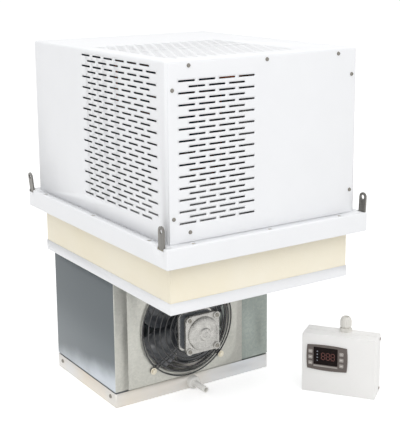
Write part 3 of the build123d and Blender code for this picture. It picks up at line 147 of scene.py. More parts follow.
def welded(shape: Shape, grid: float = 0.002) -> Shape:
    """Merges points that fall on one spot of a fine grid, and drops the corners that this doubles.

    Args:
        shape: The shape, whose seams and poles have double points.
        grid: Size of the grid in millimetres.

    Returns:
        The shape with shared points.
    """
    keys = np.round(shape.points / grid).astype(np.int64)
    _, first, inverse = np.unique(keys, axis=0, return_index=True, return_inverse=True)
    inverse = inverse.reshape(-1)
    faces = []
    for face in shape.faces:
        corners = inverse[face]
        if corners.shape[1] != 4:
            faces.append(corners)
            continue
        double = corners == np.roll(corners, -1, axis=1)
        faces.append(corners[~double.any(axis=1)])
        for side in range(4):
            once = double[:, side] & (double.sum(axis=1) == 1)
            faces.append(np.delete(corners[once], side, axis=1))
    return Shape(shape.points[first], [face for face in faces if len(face)])


def lattice(points: np.ndarray, wrap_rows: bool = False, wrap_columns: bool = False) -> Shape:
    """Covers a grid of points with four-sided faces.

    Args:
        points: Array of rows, columns and three coordinates.
        wrap_rows: Whether the last row joins the first.
        wrap_columns: Whether the last column joins the first.

    Returns:
        The surface.
    """
    rows, columns = points.shape[:2]
    index = np.arange(rows * columns).reshape(rows, columns)
    if wrap_rows:
        index = np.vstack([index, index[:1]])
    if wrap_columns:
        index = np.hstack([index, index[:, :1]])
    quads = np.stack([index[:-1, :-1], index[:-1, 1:], index[1:, 1:], index[1:, :-1]], axis=-1)
    return Shape(points.reshape(-1, 3), [quads.reshape(-1, 4)])


def banded(outlines: Sequence[np.ndarray]) -> Shape:
    """Joins closed outlines in order, and leaves the two ends open."""
    return lattice(np.array(outlines, float), wrap_columns=True)


def lofted(outlines: Sequence[np.ndarray]) -> Shape:
    """Joins closed outlines in order, and closes the two ends.

    Args:
        outlines: Outlines of one number of points.

    Returns:
        The closed skin.
    """
    skin = banded(outlines)
    corners = np.arange(len(outlines[0]))[None]
    return Shape(skin.points, [*skin.faces, corners[:, ::-1], corners + (len(outlines) - 1) * corners.size])


def carried(line: np.ndarray, axis: int, start: float, end: float) -> Shape:
    """Carries a line of points along one axis.

    Args:
        line: Points of the line.
        axis: Number of the axis.
        start: Where the sheet begins on the axis.
        end: Where it ends.

    Returns:
        The open sheet.
    """
    move = np.zeros((2, 1, 3))
    move[:, 0, axis] = start, end
    return lattice(line[None] + move)


def revolved(profile: Sequence[Pair], segments: int = 48) -> Shape:
    """Turns a profile about the local z axis: x = r cos a, y = r sin a, z = h.

    Args:
        profile: Pairs of radius and height.
        segments: Number of steps round the axis.

    Returns:
        The surface of revolution.
    """
    radius, height = np.array(profile, float).T
    angle = np.arange(segments) * TURN / segments
    points = np.stack(
        [
            radius[:, None] * np.cos(angle),
            radius[:, None] * np.sin(angle),
            np.broadcast_to(height[:, None], (len(radius), segments)),
        ],
        axis=-1,
    )
    return banded(points)


def tube(path: np.ndarray, radius: float, sides: int = 12, closed: bool = False) -> Shape:
    """Carries a circle along a path: point = path + r (cos a n + sin a b), n turned as little as can be.

    Args:
        path: Array of points along the middle of the tube.
        radius: Radius of the tube.
        sides: Number of steps round it.
        closed: Whether the path's end joins its start.

    Returns:
        The tube's skin, with round ends closed where it is open.
    """
    ahead = np.roll(path, -1, axis=0) - path
    behind = path - np.roll(path, 1, axis=0)
    tangent = ahead / np.linalg.norm(ahead, axis=1)[:, None]
    before = behind / np.linalg.norm(behind, axis=1)[:, None]
    mean = tangent + before
    if not closed:
        mean[0], mean[-1] = tangent[0], before[-1]
    tangent = mean / np.linalg.norm(mean, axis=1)[:, None]
    normal = np.cross(tangent[0], (0.0, 0.0, 1.0) if abs(tangent[0][2]) < 0.9 else (1.0, 0.0, 0.0))
    normals = []
    for direction in tangent:
        normal = normal - direction * (normal @ direction)
        normal = normal / np.linalg.norm(normal)
        normals.append(normal)
    normals = np.array(normals)
    side = np.cross(tangent, normals)
    angle = np.arange(sides) * TURN / sides
    circle = np.cos(angle)[None, :, None] * normals[:, None] + np.sin(angle)[None, :, None] * side[:, None]
    points = path[:, None] + radius * circle
    if closed:
        return lattice(points, wrap_rows=True, wrap_columns=True)
    return lofted(points)


def route(corners: Sequence[Sequence[float]], bend: float, steps: int = 8) -> np.ndarray:
    """A path of straight runs with an arc of one radius in each corner.

    Args:
        corners: The corner points and the two ends.
        bend: Radius of the arcs.
        steps: Number of steps in each arc.

    Returns:
        Array of points along the path.
    """
    corners = np.array(corners, float)
    pieces = [corners[:1]]
    for before, corner, after in zip(corners, corners[1:], corners[2:]):
        back = (before - corner) / np.linalg.norm(before - corner)
        on = (after - corner) / np.linalg.norm(after - corner)
        half = math.acos(np.clip(back @ on, -1.0, 1.0)) / 2
        middle = corner + (back + on) / np.linalg.norm(back + on) * bend / math.sin(half)
        start = corner + back * bend / math.tan(half) - middle
        end = corner + on * bend / math.tan(half) - middle
        sweep = math.pi - 2 * half
        share = np.linspace(0.0, 1.0, steps + 1)[:, None]
        arc = (np.sin((1 - share) * sweep) * start + np.sin(share * sweep) * end) / math.sin(sweep)
        pieces.append(middle + arc)
    pieces.append(corners[-1:])
    return np.vstack(pieces)


def rounded_outline(width: float, height: float, corner: float, steps: int = 6) -> np.ndarray:
    """A rectangle about the origin with quarter circles at its corners, anticlockwise.

    Args:
        width: Size along x.
        height: Size along y.
        corner: Radius of the corners.
        steps: Number of steps in each corner.

    Returns:
        Array of points in the plane.
    """
    arc = corner * around(quarter_turn(steps))
    middle = np.array([width / 2 - corner, height / 2 - corner])
    turned = []
    for sign_x, sign_y in ((1, 1), (-1, 1), (-1, -1), (1, -1)):
        corner_points = (arc + middle) * (sign_x, sign_y)
        turned.append(corner_points if sign_x * sign_y > 0 else corner_points[::-1])
    return np.vstack(turned)


def around(angle: np.ndarray) -> np.ndarray:
    """Points (cos a, sin a) of the unit circle."""
    return np.stack([np.cos(angle), np.sin(angle)], axis=-1)


def circle_outline(radius: float, count: int, start: float = 0.0) -> np.ndarray:
    """Points of a circle about the origin, anticlockwise from the start angle."""
    return radius * around(start + np.arange(count) * TURN / count)


def hole_outline(radius: float, count: int) -> np.ndarray:
    """Points of a circle about the origin, anticlockwise from its lowest point."""
    return circle_outline(radius, count, -TURN / 4)


def rectangle(extent: Extent) -> np.ndarray:
    """The corners of a rectangle, anticlockwise from its lower left one."""
    left, right, bottom, top = extent
    return np.array([(left, bottom), (right, bottom), (right, top), (left, top)])


def level(outline: np.ndarray, height: float = 0.0) -> np.ndarray:
    """A plane outline as points at one height."""
    return np.column_stack([outline, np.full(len(outline), height)])


def flat(outline: np.ndarray, height: float = 0.0) -> Shape:
    """A plane outline as one face at one height."""
    return Shape(level(outline, height), [np.arange(len(outline))[None]])


def quarter_turn(steps: int) -> np.ndarray:
    """Angles from 0 to a quarter turn in so many steps."""
    return np.linspace(0.0, TURN / 4, steps + 1)


def rolled(edge: float, roll: float, steps: int) -> list[Pair]:
    """A quarter-round edge that turns inward from a face: reach edge - r sin a, depth -r (1 - cos a)."""
    return [(edge - roll * math.sin(a), -roll * (1 - math.cos(a))) for a in quarter_turn(steps)]


def slab(outline: np.ndarray, low: float, high: float, edge: float = 0.0, steps: int = 4) -> Shape:
    """Extrudes an outline from low to high along z, with its upper edge rounded.

    The rounded edge shrinks the outline about its own middle by edge (1 - cos a) as it rises by edge sin a.

    Args:
        outline: Closed outline in the plane, about its own middle.
        low: Height of the flat foot.
        high: Height of the top.
        edge: Radius of the rounded upper edge.
        steps: Number of steps in the rounding.

    Returns:
        The closed body.
    """
    levels = [(0.0, low), (0.0, high - edge)]
    angle = quarter_turn(steps)[1:] if edge else np.array([])
    levels += [(edge * (1 - math.cos(a)), high - edge + edge * math.sin(a)) for a in angle]
    middle = (outline.max(axis=0) + outline.min(axis=0)) / 2
    half = (outline.max(axis=0) - outline.min(axis=0)) / 2
    rows = []
    for inset, height in levels:
        ring = middle + (outline - middle) * (half - inset) / half
        rows.append(level(ring, height))
    return lofted(rows)


def hexagonal(profile: Sequence[Pair]) -> Shape:
    """A closed stack of hexagons about the z axis, from the radius and height of each."""
    return lofted([level(circle_outline(radius, 6), height) for radius, height in profile])


def hexagon_head(radius: float, low: float, high: float) -> Shape:
    """A hexagon between two heights, with its upper corners cut by an eighth of its height."""
    return hexagonal(((radius, low), (radius, high - (high - low) / 8), (0.88 * radius, high)))


def round_collar(profile: Sequence[Pair], count: int) -> Shape:
    """An open band about the z axis whose columns fit a round hole's outline, from radii and heights."""
    return banded([level(hole_outline(radius, count), height) for radius, height in profile])


def corner_patch(place: Pair, signs: tuple[int, int], profile: np.ndarray, steps: int) -> Shape:
    """Turns a profile through a quarter turn about an upright corner: x = sx (X + r cos a), y = sy (Y + r sin a).

    Args:
        place: The corner's x and y, as if it were the one at the right and back.
        signs: Signs that put it where it belongs.
        profile: Rows of radius and height.
        steps: Number of steps in the quarter turn.

    Returns:
        The open patch.
    """
    angle = quarter_turn(steps)
    radius, height = profile[:, :1], profile[:, 1:]
    x = signs[0] * (place[0] + radius * np.cos(angle))
    y = signs[1] * (place[1] + radius * np.sin(angle))
    return lattice(np.stack([x, y, np.broadcast_to(height, x.shape)], axis=-1))


def pan_screw(radius: float, height: float) -> Shape:
    """A low round screw head with a recess, turned about the local z axis from z = 0."""
    inside, floor = 0.36 * radius, 0.5 * height
    profile = [(0, 0), (radius, 0), (radius, 0.55 * height), (0.86 * radius, 0.85 * height)]
    return revolved([*profile, (inside + 0.2, height), (inside, height - 0.1), (0.9 * inside, floor), (0, floor)], 20)


def fluted(rows: Sequence[Triple], flutes: int, count: int = 96) -> Shape:
    """A closed ring of rows about the z axis: radius (1 + depth cos(flutes a)) at each height.

    Args:
        rows: Radius, height and depth of the flutes of each row.
        flutes: Number of flutes round the axis.
        count: Number of steps round the axis.

    Returns:
        The skin, whose last row joins its first.
    """
    wave = np.cos(np.arange(count) * TURN / count * flutes)[:, None]
    rings = [level(circle_outline(r, count) * (1 + d * wave), h) for r, h, d in rows]
    return lattice(np.array(rings), wrap_rows=True, wrap_columns=True)


def holed_plate(extent: Extent, hole: np.ndarray, height: float = 0.0) -> Shape:
    """A flat rectangle with one hole, as two faces that meet above and below the hole.

    Args:
        extent: Left, right, bottom and top of the rectangle.
        hole: Outline of the hole, anticlockwise from its lowest point, with its highest point halfway.
        height: Where the plate lies along z.

    Returns:
        The plate.
    """
    left, right, bottom, top = extent
    count = len(hole)
    middle = hole[0, 0]
    rim = [(left, bottom), (middle, bottom), (right, bottom), (right, top), (middle, top), (left, top)]
    points = np.vstack([rim, hole])
    inside = np.arange(count) + len(rim)
    left_face = [0, 1, inside[0], *inside[: count // 2 - 1 : -1], 4, 5]
    right_face = [1, 2, 3, 4, *inside[count // 2 :: -1]]
    return Shape(level(points, height), [np.array([left_face]), np.array([right_face])])


@dataclass(frozen=True)
class SlotField:
    """Rows of round-ended slots, every other row set off by half a pitch.

    The rows are numbered from the bottom. Each row starts so many half pitches from the field's left.
    """

    middle_u: float
    middle_v: float
    pitch: float
    row_pitch: float
    rows: int
    half_columns: int
    even_start: int
    even_slots: int
    odd_start: int
    odd_slots: int
    length: float = 34.0
    width: float = 3.3
    end_steps: int = 5

    def half_cell(self) -> np.ndarray:
        """Outline of the left half of one slot's cell: its corners, then half of a round-ended slot.

        Returns:
            Corners of the outline, anticlockwise.
        """
        half = self.pitch / 2
        angle = np.linspace(-TURN / 4, -3 * TURN / 4, self.end_steps + 1)
        radius = self.width / 2
        mid = self.row_pitch / 2
        end = around(angle) * radius + (half - self.length / 2 + radius, mid)
        corners = [(0, 0), (half, 0), (half, mid - radius)]
        last = [(half, mid + radius), (half, self.row_pitch), (0, self.row_pitch)]
        return np.vstack([corners, end, last])

    def sheet(self, extent: Extent) -> Shape:
        """The flat sheet with all its slots.

        Args:
            extent: Left, right, bottom and top of the whole sheet.

        Returns:
            The sheet at z = 0: half cells, plain cells and four strips round the field.
        """
        left, right, bottom, top = extent
        half = self.pitch / 2
        u_low = self.middle_u - self.half_columns * half / 2
        v_low = self.middle_v - self.rows * self.row_pitch / 2
        column, row = np.meshgrid(np.arange(self.half_columns), np.arange(self.rows))
        column, row = column.ravel(), row.ravel()
        odd = row % 2 == 1
        start = np.where(odd, self.odd_start, self.even_start)
        slots = np.where(odd, self.odd_slots, self.even_slots)
        inside = (column >= start) & (column < start + 2 * slots)
        second = (column - start) % 2 == 1
        corner = np.stack([u_low + column * half, v_low + row * self.row_pitch], axis=-1)
        outline = self.half_cell()
        mirrored = outline * (-1, 1) + (half, 0)
        plain = rectangle((0.0, half, 0.0, self.row_pitch))
        shapes = []
        for cells, form in (
            (corner[inside & ~second], outline),
            (corner[inside & second], mirrored[::-1]),
            (corner[~inside], plain),
        ):
            if len(cells):
                points = (cells[:, None] + form[None]).reshape(-1, 2)
                faces = np.arange(len(points)).reshape(len(cells), len(form))
                shapes.append(Shape(level(points), [faces]))
        us = u_low + np.arange(self.half_columns + 1) * half
        vs = v_low + np.arange(self.rows + 1) * self.row_pitch
        strips = (
            [(left, bottom), (right, bottom), *((u, vs[0]) for u in us[::-1])],
            [(right, top), (left, top), *((u, vs[-1]) for u in us)],
            [(left, top), (left, bottom), *((us[0], v) for v in vs)],
            [(right, bottom), (right, top), *((us[-1], v) for v in vs[::-1])],
        )
        return joined([*shapes, *(flat(np.array(strip)) for strip in strips)])


# Finishes

SPANGLE_BEND = 60.0
SPANGLE_SHIFT = (0.012, 0.012, 0.012)
# Shape of the painted floor reflection at the foot of the left wall: its slant toward the front, the noise that bends
# its edge, and the heights at which it starts and is full.
FLOOR_REFLECTION_SLANT = 0.16
FLOOR_REFLECTION_WAVE = 0.04
FLOOR_REFLECTION_START = -0.246
FLOOR_REFLECTION_FULL = -0.302


class Pattern(Enum):
    """How a finish varies over a surface."""

    EVEN = "even"
    SPANGLE = "spangle"
    BRUSHED = "brushed"
    LAYERED = "layered"
    # A pale patch painted at the foot of a wall as the floor's reflection.
    PAINTED_FLOOR_REFLECTION = "painted floor reflection"


def linear(red: int, green: int, blue: int) -> tuple[float, float, float, float]:
    """A colour of the screen, each channel from 0 to 255, as the renderer's linear colour.

    Args:
        red: Red channel.
        green: Green channel.
        blue: Blue channel.

    Returns:
        The four channels, the last of them 1.
    """
    channels = np.array([red, green, blue]) / 255.0
    low = channels / 12.92
    high = ((channels + 0.055) / 1.055) ** 2.4
    return (*np.where(channels <= 0.04045, low, high).tolist(), 1.0)


def add_node(tree: Tree, kind: str, values: dict[str | int, object] | None = None, **settings: str) -> Node:
    """Adds a node to a tree.

    Args:
        tree: The tree that it goes into.
        kind: The node's type, without the ShaderNode that it starts with.
        values: Values of some of its inputs, by name or number.
        settings: Its own properties.

    Returns:
        The node.
    """
    added = tree.nodes.new(f"ShaderNode{kind}")
    for name, value in settings.items():
        setattr(added, name, value)
    for name, value in (values or {}).items():
        added.inputs[name].default_value = value
    return added


def link_up(tree: Tree, *links: tuple) -> None:
    """Links nodes of a tree: each link is a node, its output, the next node and its input."""
    for source, output, target, given in links:
        tree.links.new(source.outputs[output], target.inputs[given])


def show(name: str, data: bpy.types.ID) -> Piece:
    """Makes an object at the origin and links it to the scene.

    Args:
        name: Name of the object.
        data: Its mesh, lamp or camera.

    Returns:
        The object.
    """
    thing = bpy.data.objects.new(name, data)
    bpy.context.scene.collection.objects.link(thing)
    return thing


def new_material(name: str, values: dict[str, object]) -> tuple[Material, Tree, Node]:
    """Makes a material of nodes.

    Args:
        name: Name of the material.
        values: Values of its shader's inputs.

    Returns:
        The material, its tree and its shader node.
    """
    material = bpy.data.materials.new(name)
    material.use_nodes = True
    shader = material.node_tree.nodes["Principled BSDF"]
    for label, value in values.items():
        shader.inputs[label].default_value = value
    return material, material.node_tree, shader


class Groups:
    """Node groups that several finishes share, each built once."""

    def __init__(self) -> None:
        """Builds the groups."""
        self.trees = {
            Pattern.EVEN: self._mottle(),
            Pattern.SPANGLE: self._spangle(),
            Pattern.BRUSHED: self._streaks(),
            Pattern.LAYERED: self._layers(),
            Pattern.PAINTED_FLOOR_REFLECTION: self._painted_floor_reflection(),
        }

    def _new(self, name: str, **inputs: float) -> tuple:
        """Makes an empty group with number inputs, and the outputs Patches and Grain.

        Args:
            name: Name of the group.
            inputs: Name and default value of each input.

        Returns:
            The tree, its input node and its output node.
        """
        tree = bpy.data.node_groups.new(name, "ShaderNodeTree")
        for label, value in inputs.items():
            socket = tree.interface.new_socket(label, in_out="INPUT", socket_type="NodeSocketFloat")
            socket.default_value = value
        for label in ("Patches", "Grain"):
            tree.interface.new_socket(label, in_out="OUTPUT", socket_type="NodeSocketFloat")
        return tree, tree.nodes.new("NodeGroupInput"), tree.nodes.new("NodeGroupOutput")

    def _noise(self, tree: Tree, detail: float, stretch: Triple = (1.0, 1.0, 1.0)) -> Node:
        """A noise on Object coordinates.

        Args:
            tree: The tree that it goes into.
            detail: The noise's detail.
            stretch: Factor on each coordinate.

        Returns:
            The noise node.
        """
        coordinates = add_node(tree, "TexCoord")
        mapping = add_node(tree, "Mapping", {"Scale": stretch})
        noise = add_node(tree, "TexNoise", {"Detail": detail})
        link_up(tree, (coordinates, "Object", mapping, "Vector"), (mapping, "Vector", noise, "Vector"))
        return noise

    def _mottle(self) -> Tree:
        """Soft patches and a fine grain, both from 0 to 1.

        Returns:
            The group's tree.
        """
        tree, given, out = self._new("mottle", Scale=20.0, Grain=900.0)
        patches = self._noise(tree, 4.0)
        grain = self._noise(tree, 2.0)
        link_up(
            tree, (given, "Scale", patches, "Scale"), (given, "Grain", grain, "Scale"),
            (patches, "Fac", out, "Patches"), (grain, "Fac", out, "Grain"),
        )
        return tree

    def _spangle(self) -> Tree:
        """The crystals of a zinc coat: cells, each with its own even value.

        Returns:
            The group's tree.
        """
        tree, given, out = self._new("spangle", Scale=120.0)
        coordinates = add_node(tree, "TexCoord")
        bent = self._noise(tree, 2.0)
        bent.inputs["Scale"].default_value = SPANGLE_BEND
        shift = add_node(tree, "VectorMath", {1: SPANGLE_SHIFT}, operation="MULTIPLY_ADD")
        cells = add_node(tree, "TexVoronoi")
        split = add_node(tree, "SeparateColor")
        link_up(
            tree, (bent, "Color", shift, 0), (coordinates, "Object", shift, 2),
            (shift, "Vector", cells, "Vector"), (given, "Scale", cells, "Scale"),
            (cells, "Color", split, "Color"), (split, "Red", out, "Patches"),
            (split, "Green", out, "Grain"),
        )
        return tree

    def _streaks(self) -> Tree:
        """Fine streaks up and down, and broad soft bands.

        Returns:
            The group's tree.
        """
        tree, given, out = self._new("streaks", Scale=10.0, Grain=700.0)
        bands = self._noise(tree, 3.0, (1.0, 1.0, 0.12))
        lines = self._noise(tree, 2.0, (1.0, 1.0, 0.03))
        link_up(
            tree, (given, "Scale", bands, "Scale"), (given, "Grain", lines, "Scale"),
            (bands, "Fac", out, "Patches"), (lines, "Fac", out, "Grain"),
        )
        return tree

    def _layers(self) -> Tree:
        """Thin layers stacked along Y, as in a motor's pack of sheets.

        Returns:
            The group's tree.
        """
        tree, given, out = self._new("layers", Scale=320.0, Grain=900.0)
        coordinates = add_node(tree, "TexCoord")
        wave = add_node(tree, "TexWave", bands_direction="Y")
        grain = self._noise(tree, 2.0)
        link_up(
            tree, (coordinates, "Object", wave, "Vector"), (given, "Scale", wave, "Scale"),
            (given, "Grain", grain, "Scale"), (wave, "Fac", out, "Patches"), (grain, "Fac", out, "Grain"),
        )
        return tree

    def _painted_floor_reflection(self) -> Tree:
        """A painted reflection of the floor: a patch at the foot of the wall, higher toward the front, its edge bent by
        noise, and a fine grain.

        Returns:
            The group's tree.
        """
        tree, given, out = self._new("painted_floor_reflection", Scale=12.0, Grain=900.0)
        coordinates = add_node(tree, "TexCoord")
        split = add_node(tree, "SeparateXYZ")
        bent = self._noise(tree, 3.0)
        grain = self._noise(tree, 2.0)
        slant = add_node(tree, "Math", {1: FLOOR_REFLECTION_SLANT}, operation="MULTIPLY_ADD")
        height = add_node(tree, "Math", {1: FLOOR_REFLECTION_WAVE}, operation="MULTIPLY_ADD")
        span = {"From Min": FLOOR_REFLECTION_START, "From Max": FLOOR_REFLECTION_FULL}
        ramp = add_node(tree, "MapRange", span, interpolation_type="SMOOTHSTEP")
        link_up(
            tree, (given, "Scale", bent, "Scale"), (given, "Grain", grain, "Scale"),
            (coordinates, "Object", split, "Vector"), (bent, "Fac", height, 0), (split, "Y", slant, 0),
            (split, "Z", slant, 2), (slant, "Value", height, 2), (height, "Value", ramp, "Value"),
            (ramp, "Result", out, "Patches"), (grain, "Fac", out, "Grain"),
        )
        return tree


@dataclass(frozen=True)
class Finish:
    """A material: two colours that patches mix, and a grain that marks the gloss and the surface."""

    name: str
    colour: tuple[int, int, int]
    patch_colour: tuple[int, int, int]
    roughness: float
    roughness_spread: float = 0.08
    metallic: float = 0.0
    patch_scale: float = 18.0
    grain_scale: float = 900.0
    grain_height: float = 0.05
    coat: float = 0.0
    specular: float = 0.5
    pattern: Pattern = Pattern.EVEN

    def build(self, groups: Groups) -> Material:
        """Makes the material.

        Args:
            groups: The shared node groups.

        Returns:
            The material.
        """
        values = {"Metallic": self.metallic, "Coat Weight": self.coat, "Specular IOR Level": self.specular}
        material, tree, shader = new_material(self.name, values)
        texture = add_node(tree, "Group")
        texture.node_tree = groups.trees[self.pattern]
        texture.inputs["Scale"].default_value = self.patch_scale
        if "Grain" in texture.inputs:
            texture.inputs["Grain"].default_value = self.grain_scale
        colours = {"A": linear(*self.colour), "B": linear(*self.patch_colour)}
        mix = add_node(tree, "Mix", colours, data_type="RGBA")
        link_up(tree, (texture, "Patches", mix, "Factor"), (mix, "Result", shader, "Base Color"))
        low, high = self.roughness - self.roughness_spread, self.roughness + self.roughness_spread
        gloss = add_node(tree, "MapRange", {"To Min": low, "To Max": high})
        link_up(tree, (texture, "Grain", gloss, "Value"), (gloss, "Result", shader, "Roughness"))
        if self.grain_height:
            bump = add_node(tree, "Bump", {"Strength": self.grain_height, "Distance": MM})
            link_up(tree, (texture, "Grain", bump, "Height"), (bump, "Normal", shader, "Normal"))
        return material


WHITE_PAINT = Finish("white_powder_coat", (241, 242, 244), (245, 246, 248), 0.42, grain_height=0.04)
# Painted shade: the inner side of the casing's white sheets is drawn dark teal, standing in for the shade inside the
# casing that shows through the slots.
CASING_PAINTED_SHADE = Finish("casing_painted_shade", (16, 50, 72), (12, 40, 60), 0.70, patch_scale=30.0, grain_height=0.08)
GALVANISED = Finish(
    "galvanised_sheet", (128, 132, 135), (142, 145, 148), 0.36, 0.06, 0.88, 260.0,
    grain_height=0.02, pattern=Pattern.SPANGLE,
)
# Painted reflections on the left wall: the same pale zinc as the fan plate, darkened as a painted reflection of a dark
# room, with a pale patch at its foot painted as the white floor's reflection.
SIDE_SHEET_PAINTED_REFLECTIONS = Finish(
    "side_sheet", (112, 118, 121), (198, 204, 210), 0.34, 0.06, 0.80, 12.0,
    grain_height=0.02, pattern=Pattern.PAINTED_FLOOR_REFLECTION,
)
GREEN_ZINC = Finish(
    "passivated_sheet", (150, 158, 153), (160, 167, 161), 0.40, 0.06, 0.75, 260.0,
    grain_height=0.02, pattern=Pattern.SPANGLE,
)
PALE_SHEET = Finish(
    "pale_zinc_sheet", (192, 192, 184), (202, 201, 193), 0.40, 0.06, 0.6, 260.0,
    grain_height=0.02, pattern=Pattern.SPANGLE,
)
TRAY_SHEET = Finish("tray_sheet", (214, 230, 250), (236, 216, 182), 0.36, 0.08, 0.45, 5.0, grain_height=0.03)
STRAP_STEEL = Finish("strap_steel", (96, 95, 94), (150, 147, 141), 0.32, 0.10, 0.85, 60.0, pattern=Pattern.BRUSHED)
FOAM = Finish("cream_foam", (253, 248, 234), (247, 237, 210), 0.88, 0.05, 0.0, 7.0, 420.0, 0.35, specular=0.2)
ZINC_SCREW = Finish("zinc_screw", (128, 126, 120), (160, 156, 148), 0.34, 0.08, 0.8, 200.0)
BRONZE_SCREW = Finish("bronze_screw", (70, 48, 30), (104, 74, 44), 0.36, 0.08, 0.6, 200.0)
PALE_BOLT = Finish("zinc_bolt", (206, 198, 178), (232, 226, 210), 0.30, 0.08, 0.85, 160.0)
BLACK_WIRE = Finish("black_wire", (24, 25, 28), (36, 37, 40), 0.22, 0.05, 0.0, 80.0, coat=0.6)
BLACK_PAINT = Finish("black_paint", (12, 26, 34), (18, 38, 48), 0.34, 0.08, 0.0, 30.0, coat=0.3)
# The blades are dark plastic, drawn in a lighter grey than the black plastic as a painted sheen of their glossy faces.
BLADE_PLASTIC_PAINTED_SHEEN = Finish("blade_plastic_painted_sheen", (62, 65, 70), (78, 81, 86), 0.26, 0.06, 0.0, 40.0, coat=1.0)
BLACK_PLASTIC = Finish("black_plastic", (20, 21, 24), (32, 33, 37), 0.30, 0.06, 0.0, 40.0)
RUBBER = Finish("black_rubber", (24, 24, 24), (38, 38, 38), 0.8, 0.05, 0.0, 60.0, 600.0, 0.2)
CAST_METAL = Finish("cast_metal", (150, 149, 146), (204, 202, 197), 0.28, 0.10, 0.84, 90.0, 420.0, 0.36)
SHEET_PACK = Finish(
    "sheet_pack", (92, 96, 104), (150, 154, 160), 0.42, 0.08, 0.8, 300.0, 900.0, 0.25, pattern=Pattern.LAYERED
)
FIN_METAL = Finish("fin_metal", (196, 200, 205), (214, 217, 221), 0.34, 0.08, 0.9, 60.0)
COPPER = Finish("copper", (190, 112, 74), (146, 80, 56), 0.28, 0.10, 0.95, 26.0)
SPOUT_PLASTIC = Finish("spout_plastic", (243, 242, 238), (234, 233, 228), 0.36, 0.06, 0.0, 40.0)
BOX_PLASTIC = Finish("box_plastic", (247, 246, 244), (243, 242, 240), 0.46, 0.06, 0.0, 30.0, 1400.0, 0.10)
GLAND_PLASTIC = Finish("gland_plastic", (232, 230, 224), (222, 220, 213), 0.36, 0.06, 0.0, 60.0)
KEYPAD_GREY = Finish("keypad_grey", (90, 82, 78), (100, 91, 86), 0.46, 0.06, 0.0, 60.0)
KEY_GREY = Finish("key_grey", (158, 152, 147), (168, 162, 157), 0.50, 0.06, 0.0, 60.0)
KEY_MARK = Finish("key_mark", (226, 222, 216), (216, 212, 206), 0.55, 0.05, 0.0, 60.0)
WINDOW_BLACK = Finish(
    "display_window", (19, 11, 11), (25, 16, 15), 0.20, 0.04, 0.0, 60.0, grain_height=0.0, specular=0.08
)
WINDOW_PALE = Finish("display_marks", (128, 132, 142), (146, 150, 158), 0.40, 0.05, 0.0, 60.0)
DIGIT_RED = Finish("display_digits", (104, 52, 44), (88, 44, 38), 0.40, 0.05, 0.0, 60.0)
GREY_PLASTIC = Finish("grey_plastic", (150, 152, 154), (160, 162, 164), 0.50, 0.06, 0.0, 30.0)


class Workshop:
    """Turns shapes into finished pieces and gives CAD nodes their materials."""

    def __init__(self) -> None:
        """Builds the shared node groups and an empty store of materials."""
        self.groups = Groups()
        self.materials: dict[str, Material] = {}

    def material(self, finish: Finish) -> Material:
        """The material of a finish, made the first time that it is asked for."""
        if finish.name not in self.materials:
            self.materials[finish.name] = finish.build(self.groups)
        return self.materials[finish.name]

    def piece(
        self,
        name: str,
        shape: Shape,
        finish: Finish,
        body: str = "unit",
        replaces: Sequence[str] = (),
        sheet: float = 0.0,
        outward: Triple | None = None,
        smooth: float = 40.0,
        painted_inner_shade: Finish | None = None,
    ) -> Piece:
        """Makes one piece of the visual model.

        Args:
            name: Name of the piece.
            shape: Its surface in the part's frame, in millimetres.
            finish: Its material.
            body: The CAD body that it moves with.
            replaces: The CAD nodes that it stands for.
            sheet: Thickness given to an open sheet, inward, or 0 for a closed body.
            outward: For a flat open sheet, the side that it faces.
            smooth: Angle in degrees up to which edges are shaded smooth.
            painted_inner_shade: Material of a sheet's inner side, where it isn't the outer one's; the casing's is a
                dark colour painted on as shade.

        Returns:
            The object.
        """
        shape = welded(shape)
        mesh = bpy.data.meshes.new(name)
        faces = [corners for face in shape.faces for corners in face.tolist()]
        mesh.from_pydata((shape.points * MM).tolist(), [], faces)
        work = bmesh.new()
        work.from_mesh(mesh)
        bmesh.ops.recalc_face_normals(work, faces=work.faces)
        if outward is not None:
            total = sum((face.normal * face.calc_area() for face in work.faces), Vector())
            if total.dot(Vector(outward)) < 0:
                bmesh.ops.reverse_faces(work, faces=work.faces)
        work.to_mesh(mesh)
        work.free()
        mesh.shade_smooth()
        mesh.set_sharp_from_angle(angle=math.radians(smooth))
        thing = show(name, mesh)
        mesh.materials.append(self.material(finish))
        if sheet:
            solid = thing.modifiers.new("sheet", "SOLIDIFY")
            solid.thickness = sheet * MM
            solid.offset = -1.0
            if painted_inner_shade:
                mesh.materials.append(self.material(painted_inner_shade))
                solid.material_offset = 1
        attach(thing, body)
        if replaces:
            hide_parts(*replaces)
        LOG.info("%s: %d faces in %s", name, len(mesh.polygons), finish.name)
        return thing

    def refinish_front(self, thing: Piece, finish: Finish, depth: float) -> None:
        """Gives the faces of a piece that lie before a depth, in millimetres along Y, another finish.

        Args:
            thing: The piece.
            finish: The other finish.
            depth: The depth.
        """
        mesh = thing.data
        mesh.materials.append(self.material(finish))
        centres = np.empty(3 * len(mesh.polygons))
        mesh.polygons.foreach_get("center", centres)
        slots = (centres[1::3] < depth * MM).astype(np.int32) * (len(mesh.materials) - 1)
        mesh.polygons.foreach_set("material_index", slots)

    def dress(self, node: str, finish: Finish) -> None:
        """Gives a CAD node, which is shown as it is, its material.

        Args:
            node: Name of the node.
            finish: Its finish.
        """
        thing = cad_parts[node]
        thing.data.materials.clear()
        thing.data.materials.append(self.material(finish))
        LOG.info("%s: CAD node in %s", node, finish.name)


# The unit's sub-assemblies


